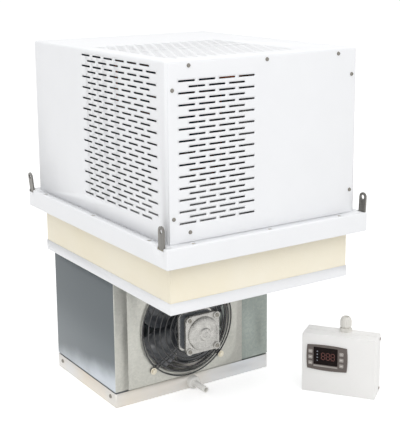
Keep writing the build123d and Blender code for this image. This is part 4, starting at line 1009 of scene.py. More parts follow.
@dataclass
class Casing:
    """The slotted housing of the condensing section, with its end panels and screws."""

    width: float = 420.0
    depth: float = 523.0
    bottom: float = 37.0
    top: float = 353.0
    sheet: float = 1.2
    fold: float = 4.5
    fold_steps: int = 5
    end_return: float = 18.0
    sill: float = 24.0
    gland_x: Pair = (120.0, 164.0)
    gland_z: float = 79.0
    coil_window: Extent = (-215.5, 62.5, 68.0, 322.0)
    side_slots: SlotField = SlotField(-93.65, 207.45, 43.9, 10.25, 27, 13, 1, 6, 0, 6)
    top_slots: SlotField = SlotField(-93.65, -45.0, 43.9, 10.25, 27, 13, 1, 6, 0, 6)
    front_slots: SlotField = SlotField(-105.9, 194.5, 41.4, 10.25, 25, 8, 0, 4, 1, 3)
    panel_edge: float = 0.9
    panel_inset: float = 4.5
    panel_sheet: float = 1.0
    screw_places: Profile = (
        (-164.0, 343.0), (0.0, 343.0), (164.0, 343.0), (-197.0, 303.0), (-197.0, 81.5), (197.0, 303.0),
        (197.0, 81.5), (-164.0, 54.3),
    )

    def wrap_shape(self) -> Shape:
        """Side walls and top in one sheet: flat sheets joined by quarter-round folds, and end returns.

        Returns:
            The outer skin, open below and at both ends.
        """
        half_x, half_y = self.width / 2, self.depth / 2 - self.sheet
        fold = self.fold
        flat_x, flat_y, flat_z = half_x - fold, half_y - fold, self.top - fold
        left = self.side_slots.sheet((-flat_y, flat_y, self.bottom, flat_z))
        left_place = Place((-half_x, 0.0, 0.0), (0, 1, 0), (0, 0, 1), (-1, 0, 0))
        roof = self.top_slots.sheet((-flat_y, flat_y, -flat_x, flat_x))
        roof_place = Place((0.0, 0.0, self.top), (0, 1, 0), (1, 0, 0), (0, 0, 1))
        wall = rectangle((-flat_y, flat_y, self.bottom, flat_z))
        right = banded([level(wall), level(rectangle(self.coil_window))])
        shapes = [left.placed(left_place), roof.placed(roof_place), right.placed(facing_side(1, half_x, 0.0, 0.0))]
        angle = quarter_turn(self.fold_steps)
        cos, sin = fold * np.cos(angle), fold * np.sin(angle)
        none = np.zeros_like(cos)
        ball = np.stack([cos, flat_z + sin], axis=-1)
        for sx in SIGNS:
            edge = np.stack([sx * (flat_x + cos), none, flat_z + sin], axis=-1)
            shapes.append(carried(edge, 1, -flat_y, flat_y))
            for sy in SIGNS:
                post = np.stack([sx * (flat_x + cos), sy * (flat_y + sin), none], axis=-1)
                shapes.append(carried(post, 2, self.bottom, flat_z))
                shapes.append(corner_patch((flat_x, flat_y), (sx, sy), ball, self.fold_steps))
        inner_x, low, high = half_x - self.end_return, self.bottom + self.sill, self.top - self.end_return
        outer = rectangle((-flat_x, flat_x, self.bottom, flat_z))
        inner = rectangle((-inner_x, inner_x, low, high))
        for sy in SIGNS:
            edge = np.stack([none, sy * (flat_y + cos), flat_z + sin], axis=-1)
            shapes.append(carried(edge, 0, -flat_x, flat_x))
            rings = [[(x, sy * half_y, z) for x, z in ring] for ring in (outer, inner)]
            shapes.append(banded(rings))
        return joined(shapes)

    def panel_shape(self, slotted: bool) -> Shape:
        """An end panel as a flat sheet with rounded edges.

        Args:
            slotted: Whether it has the field of slots.

        Returns:
            The panel's outer face and edges, in a local frame whose z points out.
        """
        edge = self.panel_edge
        half_width, top = self.width / 2 - self.panel_inset, self.top - self.panel_inset
        extent = (-half_width + edge, half_width - edge, self.bottom + edge, top - edge)
        face = self.front_slots.sheet(extent) if slotted else flat(rectangle(extent))
        middle, half_height = (self.bottom + top) / 2, (top - self.bottom) / 2
        rings = []
        for a in quarter_turn(3):
            grow = edge * math.sin(a) - edge
            ring = rectangle((-1.0, 1.0, -1.0, 1.0)) * (half_width + grow, half_height + grow)
            rings.append(level(ring + (0, middle), edge * (math.cos(a) - 1)))
        return joined([face, banded(rings)])

    def screw_shape(self) -> Shape:
        """A hexagon head with a washer face, a domed top and a rounded recess."""
        washer = revolved([(0.0, 0.0), (3.6, 0.0), (3.6, 0.5), (3.3, 0.7), (0.0, 0.7)], 24)
        head = hexagonal(((3.0, 0.7), (3.0, 2.1), (2.6, 2.5), (1.9, 2.5), (1.7, 1.9)))
        return joined([washer, head])

    def build(self, shop: Workshop) -> None:
        """Makes the casing's pieces."""
        # The inner sides of the wrap and of the end panels get the dark painted shade.
        shop.piece(
            "casing_skin", self.wrap_shape(), WHITE_PAINT, replaces=["casing_wrap"], sheet=self.sheet,
            painted_inner_shade=CASING_PAINTED_SHADE,
        )
        for end, place, slotted in (
            ("front", facing_front(0.0, -self.depth / 2, 0.0), True),
            ("back", facing_back(0.0, self.depth / 2, 0.0), False),
        ):
            shop.piece(
                f"{end}_cover", self.panel_shape(slotted).placed(place), WHITE_PAINT,
                replaces=[f"{end}_panel"], sheet=self.panel_sheet, outward=place.outward, painted_inner_shade=CASING_PAINTED_SHADE,
            )
        screw = self.screw_shape()
        heads = []
        for x, z in self.screw_places:
            heads.append(screw.placed(facing_front(x, -self.depth / 2, z)))
            heads.append(screw.placed(facing_back(x, self.depth / 2, z)))
        shop.piece(
            "casing_screw_heads", joined(heads), ZINC_SCREW, replaces=["casing_screws"], smooth=30.0
        )
        glands = [self.gland_shape(facing_back(x, self.depth / 2, self.gland_z)) for x in self.gland_x]
        shop.piece(
            "back_glands", joined(glands), GLAND_PLASTIC, replaces=["cable_glands"], smooth=30.0
        )

    def gland_shape(self, place: Place) -> Shape:
        """A cable gland: a hexagon against the panel, a domed crown with its bore, and a stub inside.

        Args:
            place: Frame on the panel, z out of it.

        Returns:
            The gland in the part's frame.
        """
        bore, stub = 5.0, 9.7
        crown = [(bore, 3.0), (12.0, 3.0), (11.6, 4.6), (10.2, 6.2), (8.0, 7.0), (bore + 0.6, 7.0), (bore, 6.4)]
        barrel = [(bore, -10.0), (stub, -10.0), (stub, 0.1), (bore, 0.1)]
        turned = [revolved([*profile, profile[0]], 36) for profile in (crown, barrel)]
        return joined([hexagon_head(13.5, 0.0, 3.6), *turned]).placed(place)


@dataclass(frozen=True)
class FlangeSide:
    """One side of the flange in a local frame: x along the side from its middle, y inward, z up.

    The skirt runs half its length along, the rim as far as reach, and the plate's corner is at inner.
    """

    place: Place
    along: float
    inner: float
    reach: float
    width: float
    holes: tuple[float, ...]
    inset: float
    notches: tuple[float, ...] = ()


@dataclass
class CeilingFlange:
    """The folded flange that rests on the ceiling, with its rim holes and lifting straps."""

    width: float = 450.0
    depth: float = 567.0
    height: float = 37.0
    sheet: float = 1.2
    fold: float = 2.5
    fold_steps: int = 5
    lip: float = 9.0
    rim: float = 16.0
    rim_ends: float = 23.0
    hole: float = 4.0
    hole_half: float = 9.0
    holes_x: tuple[float, ...] = (-164.0, 0.0, 164.0)
    holes_y: tuple[float, ...] = (-212.0, 0.0, 212.0)
    hole_inset_x: float = 8.0
    hole_inset_y: float = 12.0
    straps: tuple[tuple[int, float, float], ...] = (
        (-1, -261.5, 0.5), (1, -271.5, 3.0), (-1, 271.5, 6.0), (1, 271.5, 2.0),
    )
    notch_half: float = 10.5
    notch_width: float = 6.0
    notch_depth: float = 5.5
    strap_width: float = 18.0
    strap_thickness: float = 3.0
    strap_rise: float = 38.0
    strap_hole: float = 4.5
    strap_hole_below_top: float = 9.0
    strap_foot: float = 20.0
    strap_outer_gap: float = 1.5

    def side_profile(self) -> np.ndarray:
        """Section of the rim, the fold, the skirt and the lip, as inset from the outside and height.

        Returns:
            Points of the section, from the rim to the lip's edge.
        """
        angle = quarter_turn(self.fold_steps)
        fold = self.fold
        upper = np.stack([fold - fold * np.sin(angle), self.height - fold + fold * np.cos(angle)], axis=-1)
        lower = np.stack([fold - fold * np.cos(angle), fold - fold * np.sin(angle)], axis=-1)
        notch_floor = np.array([[0.0, self.height - self.notch_depth]])
        lip = np.array([[self.lip, 0.0]])
        return np.vstack([upper, notch_floor, lower, lip])

    def sides(self) -> list[FlangeSide]:
        """Works out the four sides.

        Returns:
            The front and back sides, then the left and right ones, which have the strap notches.
        """
        half_x, half_y, fold = self.width / 2, self.depth / 2, self.fold
        inner_x, inner_y = half_x - self.rim, half_y - self.rim_ends
        sides = []
        for side in SIGNS:
            place = Place((0, side * half_y, 0), (-side, 0, 0), (0, -side, 0))
            sides.append(
                FlangeSide(place, half_x - fold, inner_x, inner_x, self.rim_ends, self.holes_x, self.hole_inset_y)
            )
        for side in SIGNS:
            place = Place((side * half_x, 0, 0), (0, side, 0), (-side, 0, 0))
            notches = tuple(side * y for sign, y, _ in self.straps if sign == side)
            along = half_y - fold
            sides.append(
                FlangeSide(place, along, inner_y, along, self.rim, self.holes_y, self.hole_inset_x, notches)
            )
        return sides

    def breaks(self, side: FlangeSide) -> np.ndarray:
        """Finds where the columns of faces of a side begin and end.

        Args:
            side: The side.

        Returns:
            Places along the side: the plate's corners, and round each hole and notch.
        """
        steps = [(hole, step * self.hole_half) for hole in side.holes for step in (-1, 0, 1)]
        steps += [(notch, sign * self.notch_half) for notch in side.notches for sign in SIGNS]
        breaks = [-side.inner, side.inner, *(place + step for place, step in steps)]
        return np.clip(breaks, -side.along, side.along)

    def skirt_side(self, side: FlangeSide) -> Shape:
        """One side of the skirt, whose fold is left out at the strap notches.

        Args:
            side: The side.

        Returns:
            The folded strip in the side's frame, without the flat rim.
        """
        profile = self.side_profile()
        columns = np.unique([*self.breaks(side), -side.along, side.along])
        points = np.empty((len(columns), len(profile), 3))
        points[..., 0] = columns[:, None]
        points[..., 1:] = profile
        strip = lattice(points)
        quads = strip.faces[0].reshape(len(columns) - 1, len(profile) - 1, 4)
        middle = (columns[:-1] + columns[1:]) / 2
        keep = np.ones(quads.shape[:2], bool)
        for notch in side.notches:
            keep[np.abs(middle - notch) < self.notch_half, : self.fold_steps + 1] = False
        return Shape(strip.points, [quads[keep]])

    def rim_side(self, side: FlangeSide) -> Shape:
        """The flat rim of one side, with its holes and notches.

        Args:
            side: The side.

        Returns:
            The rim as flat cells in the side's frame.
        """
        breaks = self.breaks(side)
        kept = breaks[np.abs(breaks) <= side.reach + 0.01]
        columns = np.unique([*kept, -side.reach, side.reach])
        shapes = []
        for start, end in zip(columns, columns[1:]):
            middle = (start + end) / 2
            near = [hole for hole in side.holes if abs(hole - middle) < self.hole_half]
            if near and middle > near[0]:
                continue
            if near:
                circle = hole_outline(self.hole, 24) + (near[0], side.inset)
                extent = (near[0] - self.hole_half, near[0] + self.hole_half, self.fold, side.width)
                shapes.append(holed_plate(extent, circle, self.height))
                continue
            notched = any(abs(notch - middle) < self.notch_half for notch in side.notches)
            low = self.notch_width if notched else self.fold
            shapes.append(flat(rectangle((start, end, low, side.width)), self.height))
        return joined(shapes)

    def frame_shape(self) -> Shape:
        """The whole flange.

        Returns:
            Four sides with their rims, round corners, and the plate in the middle.
        """
        half_x, half_y, fold = self.width / 2, self.depth / 2, self.fold
        shapes = []
        for side in self.sides():
            shapes += [self.skirt_side(side).placed(side.place), self.rim_side(side).placed(side.place)]
        profile = self.side_profile()[:-1] * (-1, 1) + (fold, 0)
        for signs in CORNERS:
            shapes.append(corner_patch((half_x - fold, half_y - fold), signs, profile, self.fold_steps))
        inner_x, inner_y = half_x - self.rim, half_y - self.rim_ends
        shapes.append(flat(rectangle((-inner_x, inner_x, -inner_y, inner_y)), self.height))
        return joined(shapes)

    def strap_shape(self, side: int, y: float, lean: float) -> Shape:
        """One strap: an L of flat steel with a round top and a round hole.

        The upright's outline is a rectangle under a half circle, and the hole splits it in two halves.

        Args:
            side: -1 on the left, 1 on the right.
            y: Where it stands.
            lean: How far it leans out, in degrees.

        Returns:
            The closed strap.
        """
        half, rise = self.strap_width / 2, self.strap_rise
        centre = rise - self.strap_hole_below_top
        arch = half * around(np.linspace(0.0, math.pi, 13)) + (0.0, rise - half)
        outline = np.vstack([[(-half, 0.0), (0.0, 0.0), (half, 0.0)], arch])
        hole = hole_outline(self.strap_hole, 24) + (0.0, centre)
        lean_angle = math.radians(lean)
        place = Place(
            (side * (self.width / 2 - self.strap_outer_gap), y, self.height - 1.0),
            (0.0, float(side), 0.0),
            (side * math.sin(lean_angle), 0.0, math.cos(lean_angle)),
            (side * math.cos(lean_angle), 0.0, -math.sin(lean_angle)),
        )
        count, rim = len(outline), len(hole)
        top = 3 + len(arch) // 2
        points = np.vstack([outline, hole])
        inside = np.arange(rim) + count
        right_face = [1, 2, *range(3, top + 1), *inside[rim // 2 :: -1]]
        left_face = [*range(top, count), 0, 1, inside[0], *inside[: rim // 2 - 1 : -1]]
        shapes = []
        depths = (0.0, -self.strap_thickness)
        for depth in depths:
            shapes.append(Shape(level(points, depth), [np.array([right_face]), np.array([left_face])]))
        for ring in (outline, hole):
            shapes.append(banded([level(ring, depth) for depth in depths]))
        upright = joined(shapes).placed(place)
        foot_x = side * (self.width / 2 - self.strap_outer_gap - self.strap_foot / 2)
        foot_outline = rounded_outline(self.strap_foot, self.strap_width, 0.5, 2)
        foot = slab(foot_outline, 0.0, self.strap_thickness).placed(
            Place((foot_x, y, self.height - self.sheet - self.strap_thickness))
        )
        return joined([upright, foot])

    def build(self, shop: Workshop) -> None:
        """Makes the flange and its straps."""
        shop.piece(
            "flange_skin", self.frame_shape(), WHITE_PAINT, replaces=["flange_frame"], sheet=self.sheet
        )
        straps = joined([self.strap_shape(*strap) for strap in self.straps])
        shop.piece("strap_set", straps, STRAP_STEEL, replaces=["lifting_straps"])


@dataclass
class Plug:
    """The insulating plug: a foam block in a shallow folded pan."""

    half_x: float = 201.2
    half_y: float = 252.7
    bottom: float = -94.0
    rim: float = -72.0
    fold: float = 2.0
    sheet: float = 1.2
    pipe_hole: Triple = (150.0, 120.0, 17.0)

    def pan_shape(self) -> Shape:
        """The pan: a floor with the pipe hole, a quarter-round fold and four walls up to the rim.

        Returns:
            The open sheet.
        """
        x, y, radius = self.pipe_hole
        angle = quarter_turn(5)
        insets = np.concatenate([[0.0], self.fold * (1 - np.cos(angle))])
        heights = np.concatenate([[self.rim], self.bottom + self.fold * (1 - np.sin(angle))])
        flat_x, flat_y = self.half_x - self.fold, self.half_y - self.fold
        signs = np.array([(-1, -1), (x / flat_x, -1), (1, -1), (1, 1), (x / flat_x, 1), (-1, 1)])
        rows = []
        for inset, height in zip(insets, heights):
            ring = signs * (self.half_x - inset, self.half_y - inset)
            ring[[1, 4], 0] = x
            rows.append(level(ring, height))
        walls = banded(rows)
        hole = hole_outline(radius, 24) + (x, y)
        return joined([walls, holed_plate((-flat_x, flat_x, -flat_y, flat_y), hole, self.bottom)])

    def build(self, shop: Workshop) -> None:
        """Makes the pan and gives the foam its finish."""
        shop.dress("plug_foam", FOAM)
        shop.piece(
            "plug_pan", self.pan_shape(), WHITE_PAINT, replaces=["plug_cover"], sheet=self.sheet,
            outward=(0, 0, -1), smooth=35.0,
        )


@dataclass
class FanGuard:
    """A basket of rings welded on four pairs of bent arms that end in bolted eyes."""

    middle: Triple = (-19.0, -16.0, -220.0)
    wire: float = 1.5
    outer: float = 107.5
    inner: float = 44.0
    depth: float = 27.0
    rings: int = 7
    arm_gap: float = 7.0
    arm_end: float = 31.0
    bolt_radius: float = 116.0
    eye: float = 7.0

    def height(self, radius: np.ndarray) -> np.ndarray:
        """Height of the wires' middle over the plate: a quarter sine from the outer ring to the inner."""
        share = np.clip((self.outer - radius) / (self.outer - self.inner), 0.0, 1.0)
        return self.wire + (self.depth - 4 * self.wire) * np.sin(share * TURN / 4)

    def ring_shape(self, radius: float, lift: float) -> Shape:
        """A torus: (R + r cos b)(cos a, sin a), with the height r sin b above the arms.

        Args:
            radius: Radius of the ring.
            lift: Height of its middle over the plate.

        Returns:
            The closed ring.
        """
        around = np.arange(72) * TURN / 72
        across = np.arange(10) * TURN / 10
        turn, roll = np.meshgrid(around, across, indexing="ij")
        reach = radius + self.wire * np.cos(roll)
        points = np.stack([reach * np.cos(turn), reach * np.sin(turn), lift + self.wire * np.sin(roll)], axis=-1)
        return lattice(points, wrap_rows=True, wrap_columns=True)

    def arm_shape(self, quarter: int) -> Shape:
        """A pair of wires from the middle over the dome to an eye, where they run round the bolt.

        Args:
            quarter: Number of the quarter that it stands in.

        Returns:
            The closed loop of wire.
        """
        angle = TURN / 8 + quarter * TURN / 4
        radial = np.array([math.cos(angle), math.sin(angle), 0.0])
        across = np.array([-math.sin(angle), math.cos(angle), 0.0])
        over = np.linspace(self.inner - 2, self.outer - 2, 12)
        reach = np.concatenate([[self.arm_end], over, [self.bolt_radius - 5]])
        rise = self.height(reach)
        half = self.arm_gap / 2
        eye_radius = self.eye - self.wire
        loop_start = math.asin(half / eye_radius)
        turn = math.pi - loop_start - (math.pi * 2 - 2 * loop_start) * np.linspace(0, 1, 15)
        loop_reach = self.bolt_radius + eye_radius * np.cos(turn)
        loop_side = eye_radius * np.sin(turn)
        inner_turn = np.linspace(0, math.pi, 7)[1:-1]
        cap_reach = self.arm_end - half * np.sin(inner_turn)
        cap_side = -half * np.cos(inner_turn)
        path_reach = np.concatenate([reach, loop_reach, reach[::-1], cap_reach])
        path_side = np.concatenate([np.full(len(reach), half), loop_side, np.full(len(reach), -half), cap_side])
        flats = np.full(len(turn), self.wire), np.full(len(inner_turn), rise[0])
        path_rise = np.concatenate([rise, flats[0], rise[::-1], flats[1]])
        path = radial * path_reach[:, None] + across * path_side[:, None]
        path[:, 2] = path_rise
        return tube(path, self.wire, 8, closed=True)

    def build(self, shop: Workshop) -> None:
        """Makes the rings, the arms and the bolts."""
        place = facing_front(*self.middle)
        radii = np.linspace(self.outer, self.inner, self.rings)
        lifts = self.height(radii) + 2 * self.wire
        rings = joined([self.ring_shape(radius, lift) for radius, lift in zip(radii, lifts)])
        arms = joined([self.arm_shape(quarter) for quarter in range(4)])
        for part, shape in (("ring", rings), ("arm", arms)):
            shop.piece(
                f"guard_{part}_wires", shape.placed(place), BLACK_WIRE, replaces=[f"guard_{part}s"],
                smooth=80.0,
            )
        washer = [(0.0, 3.0), (7.2, 3.0), (7.2, 4.0), (6.9, 4.2), (0.0, 4.2)]
        bolt = joined([revolved(washer, 28), hexagonal(((4.6, 4.2), (4.6, 6.2), (4.1, 6.6)))])
        offset = self.bolt_radius * math.cos(TURN / 8)
        bolts = joined([bolt.placed(place.moved(sx * offset, sy * offset, 0.0)) for sx, sy in CORNERS])
        shop.piece("guard_bolt_heads", bolts, PALE_BOLT, replaces=["guard_bolts"], smooth=30.0)


@dataclass
class FanMotor:
    """The evaporator fan's motor: two cast shields, a pack of sheets, and a round cap with a boss."""

    middle: Triple = (-19.0, -43.0, -220.0)
    square: float = 80.0
    corner: float = 12.0
    rear: float = 7.0
    core_square: float = 74.0
    core: float = 20.0
    front: float = 7.0
    cap: float = 35.0
    cap_height: float = 7.0
    boss: float = 12.0
    boss_height: float = 3.0
    boss_bore: float = 6.0
    lug: float = 7.5
    lug_offset: float = 32.5
    lug_height: float = 3.0

    def build(self, shop: Workshop) -> None:
        """Makes the motor's pieces."""
        place = facing_front(*self.middle)
        plate = rounded_outline(self.square, self.square, self.corner)
        rear = slab(plate, 0.0, self.rear, 1.2).placed(place)
        shop.piece("motor_rear_shield", rear, CAST_METAL, replaces=["evaporator_motor_rear"])
        core_outline = rounded_outline(self.core_square, self.core_square, self.corner)
        core = slab(core_outline, self.rear, self.rear + self.core).placed(place)
        shop.piece("motor_sheet_pack", core, SHEET_PACK, replaces=["evaporator_motor_core"])
        base = self.rear + self.core
        top = base + self.front
        shapes = [slab(plate, base, top, 1.5)]
        bevel, lug_top = 0.8, top + self.lug_height
        radius = self.lug
        lug = [(0, top - 1), (radius, top - 1), (radius, lug_top - bevel), (radius - bevel, lug_top), (0, lug_top)]
        spots = [(sx * self.lug_offset, sy * self.lug_offset) for sx, sy in CORNERS]
        shapes += [revolved(lug, 24).placed(Place((*spot, 0.0))) for spot in spots]
        cap_top = top + self.cap_height
        rise = np.linspace(0.0, 1.0, 8)
        shoulder = [(self.cap - 7.0 * (1 - math.sqrt(max(1 - t * t, 0.0))), top + self.cap_height * t) for t in rise]
        profile = [(0.0, top - 1.0), (self.cap, top - 1.0), *shoulder, (self.boss + 1.5, cap_top)]
        boss_top = cap_top + self.boss_height
        profile += [(self.boss, boss_top - bevel), (self.boss - bevel, boss_top), (self.boss_bore, boss_top)]
        profile += [(self.boss_bore - 0.6, boss_top - bevel), (0.0, boss_top - bevel)]
        shapes.append(revolved(profile, 64))
        front = joined(shapes).placed(place)
        shop.piece(
            "motor_front_shield", front, CAST_METAL, replaces=["evaporator_motor_front"], smooth=35.0
        )
        screws = [pan_screw(4.2, 2.4).placed(place.moved(*spot, lug_top)) for spot in spots]
        shop.piece("motor_screws", joined(screws), ZINC_SCREW, smooth=30.0)


@dataclass
class AxialFan:
    """A fan with a domed hub, a shaft and twisted blades."""

    name: str
    place: Place
    body: str
    node: str
    hub: float
    hub_length: float
    tip: float
    shaft: float
    shaft_back: float
    shaft_front: float
    blades: int = 5
    thickness: float = 1.6
    lead: Triple = (26.0, 8.0, -2.0)
    trail: Pair = (-24.0, 6.0)
    pitch: Pair = (38.0, -16.0)
    camber: float = 3.0
    rise_limit: float = 0.62

    def blade_shape(self) -> Shape:
        """One blade on a grid of reach and chord, given thickness on both sides.

        At reach r the middle line runs over angle = lead + (trail - lead) c, bowed forward by a half
        sine of the reach, and the height is pitch times the distance from mid chord plus a camber
        of a half sine of the chord. The first and last of the lead's, trail's and pitch's numbers are
        degrees at the hub and their change to the tip; the lead's middle one is its bow.

        Returns:
            The closed blade.
        """
        reach = np.linspace(0.0, 1.0, 14)[:, None]
        chord = np.linspace(0.0, 1.0, 13)[None, :]
        radius = self.hub - 2.0 + (self.tip - self.hub + 2.0) * reach
        lead = np.radians(self.lead[0] + self.lead[1] * np.sin(math.pi * reach) + self.lead[2] * reach)
        trail = np.radians(self.trail[0] + self.trail[1] * reach)
        angle = lead + (trail - lead) * chord
        pitch = np.radians(self.pitch[0] + self.pitch[1] * reach)
        height = (angle - (lead + trail) / 2) * radius * np.tan(pitch)
        limit = self.hub_length * self.rise_limit
        height = np.clip(height, -limit, limit) + self.hub_length / 2 + self.camber * np.sin(math.pi * chord)
        middle = np.stack([radius * np.cos(angle), radius * np.sin(angle), height], axis=-1)
        along_reach = np.gradient(middle, axis=0)
        along_chord = np.gradient(middle, axis=1)
        normal = np.cross(along_reach, along_chord)
        normal /= np.linalg.norm(normal, axis=-1)[..., None]
        taper = self.thickness / 2 * (0.25 + 0.75 * np.sin(math.pi * (0.04 + 0.92 * chord)))[..., None]
        upper, lower = middle + normal * taper, middle - normal * taper
        return lofted(np.concatenate([upper, lower[:, ::-1]], axis=1))

    def build(self, shop: Workshop) -> None:
        """Makes the fan."""
        blade = self.blade_shape()
        shapes = []
        for number in range(self.blades):
            turn = number * TURN / self.blades
            spin = np.array([[math.cos(turn), math.sin(turn), 0], [-math.sin(turn), math.cos(turn), 0], [0, 0, 1]])
            shapes.append(Shape(blade.points @ spin, blade.faces))
        hub = [(0.0, 0.0), (self.hub - 1, 0.0), (self.hub, 1.0), (self.hub, self.hub_length - 3.0)]
        hub += [(self.hub - 1.0, self.hub_length - 1.0), (self.hub - 3.0, self.hub_length), (0.0, self.hub_length)]
        shapes.append(revolved(hub, 48))
        shaft = [(0.0, -self.shaft_back), (self.shaft, -self.shaft_back)]
        shaft += [(self.shaft, self.hub_length + self.shaft_front), (0.0, self.hub_length + self.shaft_front)]
        shapes.append(revolved(shaft, 24))
        shape = joined(shapes).placed(self.place)
        shop.piece(self.name, shape, BLADE_PLASTIC_PAINTED_SHEEN, self.body, [self.node], smooth=35.0)


@dataclass
class Evaporator:
    """The housing in the cold room with its coil, fan plate, tray and drain."""

    left: float = -187.5
    right: float = 187.5
    front: float = -16.0
    back: float = 247.0
    top: float = -94.0
    tray_top: float = -332.0
    gap: float = 2.0
    sheet: float = 1.0
    plate_left: float = -157.7
    plate_right: float = 119.7
    fan_x: float = -19.0
    fan_z: float = -220.0
    opening: float = 101.0
    collar: float = 12.0
    fold: float = 2.0
    jog: float = 1.2
    side_gap: float = 3.6
    side_jog: float = 3.4
    tongue: float = 14.0
    left_return: float = 29.5
    right_return: float = 67.5
    back_return: float = 12.0
    screw_y: Pair = (6.0, 225.0)
    screw_z: float = -343.0
    drain: Pair = (-8.0, -347.0)
    drain_base: float = 13.0
    drain_length: float = 12.0
    drain_pipe: float = 6.3
    drain_bore: float = 4.6
    drain_reach: float = 54.0

    def fan_plate_shape(self) -> Shape:
        """The plate with a round opening whose edge rolls inward, in a frame that faces the front.

        Returns:
            The open sheet.
        """
        count = 96
        roll = 4.0
        edge = self.opening + roll
        left, right = self.plate_left - self.fan_x, self.plate_right - self.fan_x
        foot = self.tray_top + self.gap - self.fan_z
        plate = holed_plate((left, right, foot, self.top - self.fan_z), hole_outline(edge, count))
        jog = [(foot, 0.0), (foot - self.jog, -self.jog), (foot - self.tongue, -self.jog)]
        tongue = lattice(np.array([[(u, v, w) for u in (left, 0.0, right)] for v, w in jog]))
        profile = [*rolled(edge, roll, 5), (self.opening, -self.collar)]
        return joined([plate, round_collar(profile, count), tongue])

    def cover_shape(self, side: int, front_return: float) -> Shape:
        """A side wall whose front and back edges fold in, with a jogged tongue that goes into the tray.

        The section is a line of three straight runs with round folds, carried down from the top; the
        last two rows lie the jog further in.

        Args:
            side: -1 for the left wall, 1 for the right.
            front_return: Width of the front edge that folds in.

        Returns:
            The open sheet.
        """
        outer, foot, jog = side * self.right, self.tray_top + self.side_gap, self.side_jog
        rows = []
        for inset, height in ((0.0, self.top), (0.0, foot), (jog, foot - jog), (jog, foot - self.tongue)):
            x, front, back = outer - side * inset, self.front + inset, self.back - inset
            inner_front, inner_back = outer - side * front_return, outer - side * self.back_return
            corners = [(inner_front, front, height), (x, front, height), (x, back, height), (inner_back, back, height)]
            rows.append(route(corners, self.fold, 5))
        return lattice(np.array(rows))

    def tray_shape(self) -> Shape:
        """The tray: a rim, four walls with round corners, a quarter-round fold and a floor.

        Returns:
            The open sheet.
        """
        angle = quarter_turn(5)
        insets = np.concatenate([[0.0], self.fold * (1 - np.cos(angle))])
        heights = np.concatenate([[self.tray_top], FLOOR_Z + self.fold * (1 - np.sin(angle))])
        middle = ((self.left + self.right) / 2, (self.front + self.back) / 2)
        rows = []
        for inset, height in zip(insets, heights):
            size = (self.right - self.left - 2 * inset, self.back - self.front - 2 * inset)
            outline = rounded_outline(*size, self.fold + 0.5 - 0.9 * inset) + middle
            rows.append(level(outline, height))
        walls = banded(rows)
        count = len(rows[0])
        floor = np.arange(count)[None] + (len(rows) - 1) * count
        return Shape(walls.points, [*walls.faces, floor])

    def tray_screw_shape(self) -> Shape:
        """The four screws that hold the tray to the side walls."""
        head = pan_screw(4.2, 2.2)
        spots = [facing_side(side, side * self.right, y, self.screw_z) for side in SIGNS for y in self.screw_y]
        return joined([head.placed(spot) for spot in spots])

    def build(self, shop: Workshop) -> None:
        """Makes the housing's pieces and dresses its CAD nodes."""
        place = facing_front(self.fan_x, self.front, self.fan_z)
        shop.piece(
            "fan_plate_sheet", self.fan_plate_shape().placed(place), PALE_SHEET,
            replaces=["fan_plate"], sheet=self.sheet, outward=(0, -1, 0),
        )
        # One metal in two colours: the left wall takes the darker side finish with its painted reflections, and its
        # front return the pale sheet of the fan plate.
        side = shop.piece(
            "left_side_sheet", self.cover_shape(-1, self.left_return), SIDE_SHEET_PAINTED_REFLECTIONS,
            replaces=["evaporator_left_cover"], sheet=self.sheet, outward=(-1, 0, 0),
        )
        shop.refinish_front(side, PALE_SHEET, self.front + self.fold / 2)
        shop.piece(
            "right_side_sheet", self.cover_shape(1, self.right_return), GREEN_ZINC,
            replaces=["evaporator_right_cover"], sheet=self.sheet, outward=(1, 0, 0),
        )
        shop.piece(
            "tray_pan", self.tray_shape(), TRAY_SHEET, replaces=["drip_tray"], sheet=self.sheet,
            outward=(0, 0, -1),
        )
        shop.piece("tray_screw_heads", self.tray_screw_shape(), ZINC_SCREW, replaces=["tray_screws"])
        shop.dress("evaporator_top", GALVANISED)
        shop.dress("evaporator_end_plates", GALVANISED)
        x, z = self.drain
        outlet = facing_front(x, self.front, z)
        base, length, bore = self.drain_base, self.drain_length, self.drain_pipe + 0.1
        rows = [(base, 0.0, 0.035), (base, length - 2.0, 0.035), (base - 1.2, length, 0.03), (8.4, length, 0.0)]
        rows += [(8.0, length - 0.6, 0.0), (bore, length - 0.6, 0.0), (bore, 0.0, 0.0)]
        spout = fluted(rows, 24).placed(outlet)
        shop.piece("drain_collar", spout, SPOUT_PLASTIC, replaces=["drain_spout"], smooth=50.0)
        inner, outer, reach = self.drain_bore, self.drain_pipe, self.drain_reach
        rows = [(inner, -1.2), (outer, -1.2), (outer, reach - 0.6), (outer - 0.5, reach), (inner + 0.3, reach)]
        pipe = revolved([*rows, (inner, reach - 0.5), rows[0]], 36).placed(outlet)
        shop.piece("drain_tube", pipe, SPOUT_PLASTIC, replaces=["drain_pipe"])


